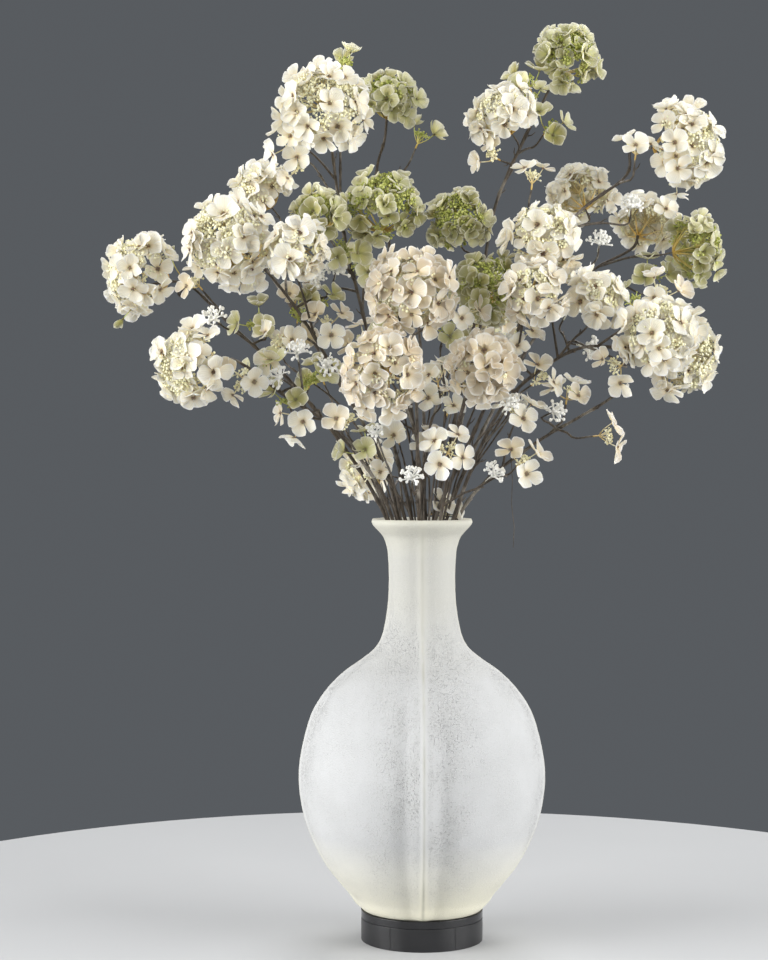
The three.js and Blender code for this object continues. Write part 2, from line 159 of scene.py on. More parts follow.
def newGeometryTree(name, sockets):
    # a socket's kind comes from its plain value, or is the value where that is a word
    tree = bpy.data.node_groups.new(name, "GeometryNodeTree")
    for way in ("INPUT", "OUTPUT"):
        tree.interface.new_socket("Geometry", in_out=way, socket_type="NodeSocketGeometry")
    for label, value in sockets.items():
        kind = value if isinstance(value, str) else "Int" if isinstance(value, int) else "Float"
        socket = tree.interface.new_socket(label, in_out="INPUT", socket_type="NodeSocket" + kind)
        if not isinstance(value, str):
            socket.default_value = value
    given = {output.name: Value(output) for output in tree.nodes.new("NodeGroupInput").outputs}
    return tree, given, tree.nodes.new("NodeGroupOutput").inputs[0]


def smoothShaded(mesh):
    return wire(mesh.tree, "GeometryNodeSetShadeSmooth", {0: mesh})


def finished(geometry, material):
    # real meshes with their finish, as the end of a tree
    real = wire(geometry.tree, "GeometryNodeRealizeInstances", {0: geometry})
    return wire(geometry.tree, "GeometryNodeSetMaterial", {0: real, "Material": material})


def growWithTree(name, guide, tree, values):
    # runs a tree on a guide mesh and returns the result as a plain mesh object at the origin
    holder = bpy.data.objects.new(name, guide)
    scene.collection.objects.link(holder)
    modifier = holder.modifiers.new("grow", "NODES")
    modifier.node_group = tree
    for item in tree.interface.items_tree:
        if item.item_type == "SOCKET" and item.in_out == "INPUT" and item.name in values:
            modifier[item.identifier] = values[item.name]
    evaluated = holder.evaluated_get(bpy.context.evaluated_depsgraph_get())
    made = bpy.data.meshes.new_from_object(evaluated)
    holder.modifiers.remove(modifier)
    holder.data = made
    made.name = name
    for extra in ("thick", "floret", "bud", "turn", "variant"):
        if extra in made.attributes:
            made.attributes.remove(made.attributes[extra])
    bpy.data.meshes.remove(guide)
    return holder


def seat(piece, slotName, *nodes):
    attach(piece, "root")
    if nodes:
        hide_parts(*nodes)


# Materials
def newMaterial(name, **sockets):
    # gives the shader's inputs too; an underscore in a keyword stands for a space
    material = bpy.data.materials.new(name)
    material.use_nodes = True
    shader = material.node_tree.nodes["Principled BSDF"].inputs
    for label, value in sockets.items():
        shader[label.replace("_", " ")].default_value = value
    return material, material.node_tree, shader


def ramp(factor, *stops):
    # each stop is a place and a colour or a grey level
    node = factor.tree.nodes.new("ShaderNodeValToRGB")
    plug(factor, node.inputs[0])
    elements = node.color_ramp.elements
    while len(elements) < len(stops):
        elements.new(0.5)
    for element, (place, tone) in zip(elements, stops):
        element.position = place
        element.color = (*tone, 1) if isinstance(tone, tuple) else (tone, tone, tone, 1)
    return Value(node.outputs["Color"])


def mixColour(factor, a, b):
    a, b = ((*tone, 1) if isinstance(tone, tuple) else tone for tone in (a, b))
    return wire(factor.tree, "ShaderNodeMix", {0: factor, 6: a, 7: b}, 2, data_type="RGBA")


def noise(vector, scale, detail=3.0, roughness=0.55):
    inputs = {"Vector": vector, "Scale": scale, "Detail": detail, "Roughness": roughness}
    return wire(vector.tree, "ShaderNodeTexNoise", inputs)


def objectCoordinates(tree):
    return wire(tree, "ShaderNodeTexCoord", output="Object")


def pieceAttribute(tree, name, output="Fac"):
    return wire(tree, "ShaderNodeAttribute", output=output, attribute_name=name)


def bump(shader, height, strength, distance):
    inputs = {"Height": height, "Strength": strength, "Distance": distance}
    plug(wire(height.tree, "ShaderNodeBump", inputs), shader["Normal"])


petalColours = {
    "cream": {
        "eye": (0.10, 0.045, 0.022), "throat": (0.66, 0.49, 0.24), "middle": (0.87, 0.69, 0.42),
        "inner": (0.92, 0.80, 0.55), "outer": (0.94, 0.87, 0.66), "edge": (0.985, 0.975, 0.92),
        "deep": (0.54, 0.39, 0.22), "pale": (0.99, 0.95, 0.76),
    },
    "green": {
        "eye": (0.13, 0.11, 0.03), "throat": (0.25, 0.26, 0.04), "middle": (0.33, 0.31, 0.08),
        "inner": (0.43, 0.39, 0.13), "outer": (0.54, 0.49, 0.21), "edge": (0.86, 0.83, 0.62),
        "deep": (0.17, 0.16, 0.03), "pale": (0.76, 0.72, 0.36),
    },
}
petalShine = {
    "Roughness": 0.62, "Sheen_Weight": 0.15, "Subsurface_Weight": 0.5, "Subsurface_Scale": 0.005,
    "Subsurface_Radius": (1.0, 0.8, 0.5),
}


def petalMaterial(name, c):
    material, tree, shader = newMaterial(name, **petalShine)
    place = objectCoordinates(tree)
    across, along, _ = split(pieceAttribute(tree, "petal", "Vector"))
    # the dark eye runs out along the middle of each petal, as a small star
    star = absolute(across) * 0.06 + along
    body = ramp(
        star, (0.0, c["eye"]), (0.15, c["eye"]), (0.21, c["throat"]), (0.34, c["middle"]), (0.6, c["inner"]),
        (0.9, c["outer"]),
    )
    # each floret has its own tone, and the tone drifts over its petals
    tint = pieceAttribute(tree, "tint")
    toned = ramp(noise(place, 70, 2) * 0.4 + tint * 0.8, (0.2, c["deep"]), (0.85, c["pale"]))
    body = mixColour(ramp(star, (0.17, 0), (0.36, 0.52), (0.8, 0.8)), body, toned)
    # veins fan out from the throat
    fan = noise(place, 240, 1) * 4.0 + across * 14.0
    vein = calc("POWER", absolute(calc("SINE", fan)), 5.0)
    body = mixColour(vein * 0.16, body, c["deep"])
    # the rim is a thin pale line with a soft inner side, and stops before the eye
    margin = calc("MAXIMUM", absolute(across), along)
    thin = ramp(margin, (0.82, 0), (0.94, 0.95))
    soft = calc("POWER", margin, 5.0) * 0.4
    pastEye = ramp(along, (0.2, 0), (0.4, 1))
    rim = calc("MAXIMUM", thin, soft) * ((tint * 0.3 + 0.7) * pastEye)
    plug(mixColour(rim, body, c["edge"]), shader["Base Color"])
    bump(shader, vein, 0.35, 0.0006)
    return material


def budMaterial(name, low, high):
    material, tree, shader = newMaterial(name, Roughness=0.8, Specular_IOR_Level=0.2)
    mottle = noise(objectCoordinates(tree), 300, 2)
    mixed = pieceAttribute(tree, "tint") * 0.7 + mottle * 0.3
    plug(ramp(mixed, (0.15, low), (0.85, high)), shader["Base Color"])
    bump(shader, mottle, 0.3, 0.0004)
    return material


def stalkMaterial(name, root, middle, tip):
    material, tree, shader = newMaterial(name, Roughness=0.5)
    streak = noise(objectCoordinates(tree), 160, 3)
    along = (streak - 0.5) * 0.4 + pieceAttribute(tree, "along")
    plug(ramp(along, (0.05, root), (0.42, middle), (0.85, tip)), shader["Base Color"])
    bump(shader, streak, 0.2, 0.0004)
    return material


def barkMaterial():
    material, tree, shader = newMaterial("darkBark")
    place = objectCoordinates(tree)
    stretched = wire(tree, "ShaderNodeMapping", {"Vector": place, "Scale": (1.0, 1.0, 0.22)})
    fibre = noise(stretched, 420, 4, 0.6)
    brown = ramp(fibre, (0.3, (0.020, 0.015, 0.010)), (0.72, (0.105, 0.080, 0.055)))
    grey = ramp(fibre, (0.3, (0.13, 0.115, 0.09)), (0.7, (0.34, 0.31, 0.26)))
    lichen = ramp(noise(place, 26, 3, 0.6), (0.54, 0), (0.66, 0.75))
    plug(mixColour(lichen, brown, grey), shader["Base Color"])
    plug(ramp(fibre, (0.3, 0.75), (0.7, 0.42)), shader["Roughness"])
    bump(shader, fibre, 0.6, 0.0006)
    return material


stoneColours = {
    "white": (0.555, 0.56, 0.56), "shade": (0.51, 0.515, 0.515), "warm": (0.78, 0.75, 0.60),
    "sand": (0.45, 0.45, 0.44), "neck": (0.50, 0.495, 0.45), "line": (0.40, 0.395, 0.33),
    "pit": (0.27, 0.27, 0.26), "speck": (0.80, 0.80, 0.80),
}


def stoneMaterial(c):
    material, tree, shader = newMaterial("whiteStone", Roughness=0.9)
    place = objectCoordinates(tree)
    level = split(place)[2]
    low, high = level * 5.0, level * 2.0
    crest = pieceAttribute(tree, "crest")
    fromCrest = pieceAttribute(tree, "fromCrest")
    cloud = noise(place, 9, 4, 0.6)
    body = ramp(cloud, (0.35, c["shade"]), (0.6, c["white"]))
    # a darker neck, and a cream stain near the foot and, weaker, on the crest of each ridge; near the foot
    # the cream is brighter as painted bounce light from the floor, and a cream band up to the lip is painted
    # light
    body = mixColour(ramp(high, (0.58, 0), (0.74, 0.9)), body, c["neck"])
    # partly painted light: the foot's cream stain is made brighter to stand for bounce light from the floor
    foot = ramp(low, (0.2, 1), (0.62, 0))
    # painted light: a lighter cream band up to the lip, over the shade under its overhang
    lip = ramp(high, (0.84, 0), (0.91, 0.45))
    body = mixColour((crest * 0.08 + foot + lip) * (cloud + 0.45), body, c["warm"])
    # separate sandy grains about 1 mm across with small dark pits between them: thick beside the ridges, none
    # on the ridges and few on the neck and at the foot
    patchy = ramp(noise(place, 24, 4, 0.65), (0.36, 0.3), (0.60, 1))
    flank = ramp(fromCrest * 10.0, (0.02, 0), (0.07, 1), (0.28, 1), (0.7, 0.3))
    fewOnNeck = ramp(high, (0.66, 1), (0.76, 0.25))
    fewAtFoot = ramp(low, (0.22, 0.15), (0.62, 1))
    strength = patchy * flank * (fewAtFoot * fewOnNeck)
    cells = {"Vector": place, "Scale": 620}
    fromGrain, mark = wire(tree, "ShaderNodeTexVoronoi", cells, ("Distance", "Color"))
    draw = wire(tree, "ShaderNodeSeparateColor", {0: mark}, "Red")
    dot = ramp(fromGrain, (0.12, 1), (0.5, 0))
    crumb = dot * ramp(draw, (0.4, 0), (0.65, 1)) * strength
    pit = dot * ramp(draw, (0.2, 1), (0.3, 0)) * strength
    # partly painted shade: a darker grey beside the ridges, for the grains' own tone and the shade of the
    # valleys
    body = mixColour(strength * 0.55, body, c["sand"])
    # partly the stone's own speckle, partly painted shade in the pits and painted highlight on the raised
    # crumbs
    body = mixColour(pit, body, c["pit"])
    body = mixColour(crumb * 0.8, body, c["speck"])
    # a thin, darker line that comes and goes along the top of each ridge, weaker on the neck: painted shadow
    # of the bead's shaded flank, with some olive stain in it
    broken = ramp(noise(place, 22, 3, 0.6), (0.36, 0.15), (0.62, 0.5))
    thin = ramp(fromCrest * 300.0, (0.05, 1), (0.8, 0))
    below = ramp(high, (0.60, 1), (0.72, 0.75))
    body = mixColour(thin * broken * (crest * below), body, c["line"])
    plug(body, shader["Base Color"])
    bump(shader, noise(place, 1100, 2, 0.6) * 0.22 + crumb, 1.0, 0.0013)
    return material


def lacquerMaterial():
    material, tree, shader = newMaterial("blackLacquer", Coat_Weight=0.1, Coat_Roughness=0.2)
    place = objectCoordinates(tree)
    across, depth, level = split(place)
    smear = noise(place, 34, 4, 0.6)
    plug(ramp(smear, (0.3, (0.006, 0.006, 0.007)), (0.8, (0.014, 0.014, 0.016))), shader["Base Color"])
    # the plate is glossier than the drum
    plate = calc("GREATER_THAN", level, 0.0247)
    satin = ramp(smear, (0.3, 0.30), (0.8, 0.44))
    plug(mixColour(plate, satin, (0.17, 0.17, 0.17)), shader["Roughness"])
    # two thin upright seams on the drum's front
    seam = ramp(absolute(absolute(across) - 0.035) * 1000.0, (0.15, 1), (0.65, 0))
    seam = seam * calc("LESS_THAN", depth, 0.0) * (1.0 - plate)
    bump(shader, 1.0 - seam, 0.7, 0.0006)
    return material


looks = {
    "creamPetal": petalMaterial("creamPetal", petalColours["cream"]),
    "greenPetal": petalMaterial("greenPetal", petalColours["green"]),
    "creamBud": budMaterial("creamBud", (0.93, 0.89, 0.57), (0.99, 0.97, 0.76)),
    "greenBud": budMaterial("greenBud", (0.29, 0.33, 0.06), (0.63, 0.64, 0.23)),
    "paleBud": budMaterial("paleBud", (0.96, 0.95, 0.89), (0.99, 0.985, 0.95)),
    "goldStalk": stalkMaterial("goldStalk", (0.56, 0.35, 0.07), (0.74, 0.62, 0.32), (0.92, 0.90, 0.70)),
    "limeStalk": stalkMaterial("limeStalk", (0.60, 0.40, 0.08), (0.60, 0.54, 0.17), (0.56, 0.64, 0.20)),
    "paleStalk": stalkMaterial("paleStalk", (0.78, 0.78, 0.66), (0.94, 0.93, 0.87), (0.98, 0.975, 0.94)),
    "bark": barkMaterial(),
    "stone": stoneMaterial(stoneColours),
    "lacquer": lacquerMaterial(),
}
print("materials ready:", len(looks))

# Vase: rings of a profile, with beaded ridges where the profile's ridge weight says so
vase = {
    "ridges": 4, "crestRise": 0.8, "crestWidth": 11, "beadHeight": 2.0, "beadHalfWidth": 2.7,
    "valleyDepth": 4.6, "valleyPlace": 21, "valleyWidth": 11,
    "columns": 240, "rows": 184, "outerRows": 0.84, "crowding": 0.56, "grain": 0.3,
    # radius, height and ridge weight, from the middle of the foot up to the lip and down the inside
    "profile": [
        (0, 33.3, 0), (40, 33.3, 0), (63, 33.3, 0.6), (67, 34.2, 0.8), (71.2, 37.4, 0.9), (75.2, 42, 1),
        (79.7, 49, 1), (89.5, 60.5, 1), (105, 80, 1), (118.5, 104, 1), (129.4, 132, 1), (135.1, 162, 1),
        (135.9, 186, 1), (133, 208, 1), (128, 230, 1), (120.9, 251, 1), (110.2, 269, 1), (97, 285, 1),
        (82.4, 298, 1), (67.1, 308.5, 1), (52.9, 320, 1), (45.2, 332, 1), (40.5, 350, 1), (37.3, 374, 1),
        (36.5, 400, 1), (37.6, 424, 0.9), (39.2, 434, 0.7), (42.7, 443.5, 0.5), (47.1, 448.8, 0.3),
        (51.3, 453.4, 0.1), (54.3, 456.8, 0), (55.6, 460.1, 0), (54.9, 462.9, 0), (52.8, 464.0, 0),
        (50.4, 463.0, 0), (46, 456, 0), (37, 442, 0), (31, 418, 0), (30.5, 380, 0), (34, 345, 0),
        (46, 318, 0), (74, 296, 0), (104, 267, 0), (121, 230, 0), (127, 180, 0), (121, 130, 0),
        (98, 86, 0), (66, 48, 0), (58, 46.3, 0), (0, 46.3, 0),
    ],
}


def hump(distance, width):
    ratio = distance / width
    return calc("EXPONENT", ratio * ratio * -1.0)


def keepOnPoints(mesh, name, value):
    inputs = {"Geometry": mesh, "Name": name, "Value": value}
    return wire(mesh.tree, "GeometryNodeStoreNamedAttribute", inputs, data_type="FLOAT", domain="POINT")


def ridgedTurningTree():
    tree, given, result = newGeometryTree("ridgedTurning", {
        "Columns": 96, "Rows": 60, "Outer Share": 0.5, "Outer Rows": 0.5, "Ridges": 4.0, "Crowding": 0.0,
        "Crest Rise": 0.0, "Crest Width": 0.01, "Bead Height": 0.0, "Bead Half Width": 0.003,
        "Valley Depth": 0.0, "Valley Place": 0.02, "Valley Width": 0.01, "Grain": 0.0, "Finish": "Material",
    })
    ridges, outerRows, outerShare = given["Ridges"], given["Outer Rows"], given["Outer Share"]
    profile = wire(tree, "GeometryNodeMeshToCurve", {"Mesh": given["Geometry"]})
    grid = wire(tree, "GeometryNodeMeshGrid", {"Vertices X": given["Columns"], "Vertices Y": given["Rows"]})
    position = wire(tree, "GeometryNodeInputPosition")
    # the grid is 1 by 1 about the origin: X is the way round, and Y is the way along the profile
    gridX, gridY, _ = split(position)
    even = (gridX + 0.5) * math.tau
    angle = even - calc("SINE", even * ridges) / ridges * given["Crowding"]
    # most of the rows go to the first share of the profile, which is the outside
    rise = gridY + 0.5
    first = calc("DIVIDE", rise, outerRows, clamp=True)
    rest = calc("DIVIDE", rise - outerRows, 1.0 - outerRows, clamp=True)
    share = first * outerShare + rest * (1.0 - outerShare)
    sampled = {"Curves": profile, "Factor": share, "Value": readAttribute(tree, "ridge")}
    wanted = ("Position", "Value")
    at, weight = wire(tree, "GeometryNodeSampleCurve", sampled, wanted, mode="FACTOR", data_type="FLOAT")
    radius, _, height = split(at)
    fromCrest = calc("PINGPONG", angle, calc("DIVIDE", math.pi, ridges)) * radius
    # a ridge is a soft crest with a bead on it and a shallow valley on each side, all smaller on the neck;
    # fullness is 0 on the neck and 1 on the body
    fullness = calc("DIVIDE", radius - 0.034, 0.09, clamp=True)
    size = fullness * 0.6 + 0.4
    crest = hump(fromCrest, given["Crest Width"] * size)
    bead = hump(fromCrest, given["Bead Half Width"] * (2.0 - fullness))
    valley = hump(fromCrest - given["Valley Place"] * size, given["Valley Width"] * size)
    change = (bead - 1.0) * (given["Bead Height"] * size) + (crest - 1.0) * given["Crest Rise"]
    dip = valley * (given["Valley Depth"] * (fullness * 0.9 + 0.1))
    full = (change - dip) * weight + radius
    ringPoint = {0: full * calc("COSINE", angle), 1: full * calc("SINE", angle), 2: height}
    place = wire(tree, "ShaderNodeCombineXYZ", ringPoint)
    marked = keepOnPoints(grid, "crest", (crest * 0.3 + bead) * weight)
    marked = keepOnPoints(marked, "fromCrest", fromCrest)
    turned = wire(tree, "GeometryNodeSetPosition", {"Geometry": marked, "Position": place})
    closed = wire(tree, "GeometryNodeMergeByDistance", {0: turned, "Distance": 0.00003})
    # coarse grain, so that the outline is uneven too
    amount = (noise(position, 170, 2) - 0.5) * (given["Grain"] * 2.0)
    normal = wire(tree, "GeometryNodeInputNormal")
    push = wire(tree, "ShaderNodeVectorMath", {0: normal, "Scale": amount}, operation="SCALE")
    rough = wire(tree, "GeometryNodeSetPosition", {"Geometry": closed, "Offset": push})
    plug(finished(smoothShaded(rough), given["Finish"]), result)
    return tree


def curveThrough(before, a, b, after, t):
    # the place at share t between a and b, on a smooth curve that passes through all four
    first, last = 0.5 * (b - before), 0.5 * (after - a)
    return a + first * t + (-3 * a + 3 * b - 2 * first - last) * t**2 + (2 * a - 2 * b + first + last) * t**3


def smoothProfile(points, steps):
    # more points between those of the profile, so that the rings follow a smooth line
    made = []
    for i in range(len(points) - 1):
        before, a, b, after = (points[min(max(i + k, 0), len(points) - 1)] for k in (-1, 0, 1, 2))
        for step in range(steps):
            share = step / steps
            made.append(tuple(curveThrough(before[k], a[k], b[k], after[k], share) for k in range(3)))
    return made + [points[-1]]


def profileMesh(points):
    mesh = bpy.data.meshes.new("profile")
    places = [(max(r, 0) * mm, 0, z * mm) for r, z, _ in points]
    mesh.from_pydata(places, [(i, i + 1) for i in range(len(points) - 1)], [])
    weights = [min(max(weight, 0), 1) for _, _, weight in points]
    mesh.attributes.new("ridge", "FLOAT", "POINT").data.foreach_set("value", weights)
    return mesh


def shareToTop(points):
    # how much of the profile's length lies before its highest point
    steps = [math.dist(a[:2], b[:2]) for a, b in zip(points, points[1:])]
    top = max(range(len(points)), key=lambda i: points[i][1])
    return sum(steps[:top]) / sum(steps)


def makeVase(s):
    outline = smoothProfile(s["profile"], 8)
    body = growWithTree("vaseBody", profileMesh(outline), ridgedTurningTree(), {
        "Columns": s["columns"] + 1, "Rows": s["rows"], "Outer Share": shareToTop(outline),
        "Outer Rows": s["outerRows"], "Ridges": float(s["ridges"]), "Crowding": s["crowding"],
        "Crest Rise": s["crestRise"] * mm, "Crest Width": s["crestWidth"] * mm,
        "Bead Height": s["beadHeight"] * mm, "Bead Half Width": s["beadHalfWidth"] * mm,
        "Valley Depth": s["valleyDepth"] * mm, "Valley Place": s["valleyPlace"] * mm,
        "Valley Width": s["valleyWidth"] * mm, "Grain": s["grain"] * mm, "Finish": looks["stone"],
    })
    seat(body, "wall", "vase")
    print("vase turned:", len(body.data.polygons), "faces")


makeVase(vase)

# Stand: two discs, each with a small round on both rims
stand = {
    "radius": 67.0, "edge": 0.35, "columns": 144,
    "discs": {
        "standDrum": {"node": "stand_drum", "bottom": 0.0, "top": 24.6},
        "standPlate": {"node": "stand_plate", "bottom": 24.9, "top": 33.0},
    },
}


def makeDisc(name, low, high, s):
    # the rings beside each round keep the flats flat in the light
    r, e, columns = s["radius"], s["edge"], s["columns"]
    corner = [(math.sin(a), 1 - math.cos(a)) for a in (0, 0.4, 0.8, 1.2, math.pi / 2)]
    corner = [(-0.6, 0.0), *corner, (1.0, 1.6)]
    rings = [(r - e + e * x, low + e * y) for x, y in corner]
    rings += [(r - e + e * x, high - e * y) for x, y in reversed(corner)]
    turns = [k * math.tau / columns for k in range(columns)]
    points = [(w * mm * math.cos(a), w * mm * math.sin(a), z * mm) for w, z in rings for a in turns]
    points += [(0, 0, low * mm), (0, 0, high * mm)]
    lowPole, highPole = len(points) - 2, len(points) - 1
    faces = []
    for k in range(columns):
        n = (k + 1) % columns
        faces.append((n, k, lowPole))
        for base in range(0, (len(rings) - 1) * columns, columns):
            faces.append((base + k, base + n, base + columns + n, base + columns + k))
        faces.append((lowPole - columns + k, lowPole - columns + n, highPole))
    mesh = bpy.data.meshes.new(name)
    mesh.from_pydata(points, [], faces)
    mesh.shade_smooth()
    mesh.materials.append(looks["lacquer"])
    piece = bpy.data.objects.new(name, mesh)
    scene.collection.objects.link(piece)
    return piece


for name, disc in stand["discs"].items():
    seat(makeDisc(name, disc["bottom"], disc["top"], stand), "lacquer", disc["node"])
print("stand turned")

# Layout of the sprays, in millimetres
bloomDepth = 0.5
sprigDepth = 20
vaseFloor = 46.3
rimHeight = 464
clearance = 0.3
stem = {
    "footRadius": 3.0, "tipRadius": 1.5, "lead": 26, "sides": 8, "step": 7,
    # inside the vase: how near its axis the stems stand, as shares of their place in the mouth
    "footShare": 0.75, "neckShare": 0.5, "neckHeights": (335, 405), "overRim": 4, "mouthIndex": 3,
}
slender = {"footRadius": 1.7, "tipRadius": 1.0, "sides": 6}
twig = {"rootRadius": 1.5, "tipRadius": 0.95, "lead": 20, "step": 6, "bowAt": 0.55, "bow": 0.05}


def carried(at, faces, leaves=None, **more):
    # leaves is where its twig leaves the stem: 0 is the mouth and 1 the first point of the stem's way;
    # without it the thing sits on the stem's own tip
    return {"at": at, "faces": faces, "leaves": leaves, **more}


def head(name, at, faces, radius, leaves=None):
    return carried(at, faces, leaves, name=name, radius=radius)


def tuft(name, at, faces, florets, leaves=None, **more):
    return carried(at, faces, leaves, name=name, florets=florets, **more)


def buds(count, at, faces, leaves=None):
    return carried(at, faces, leaves, buds=count)


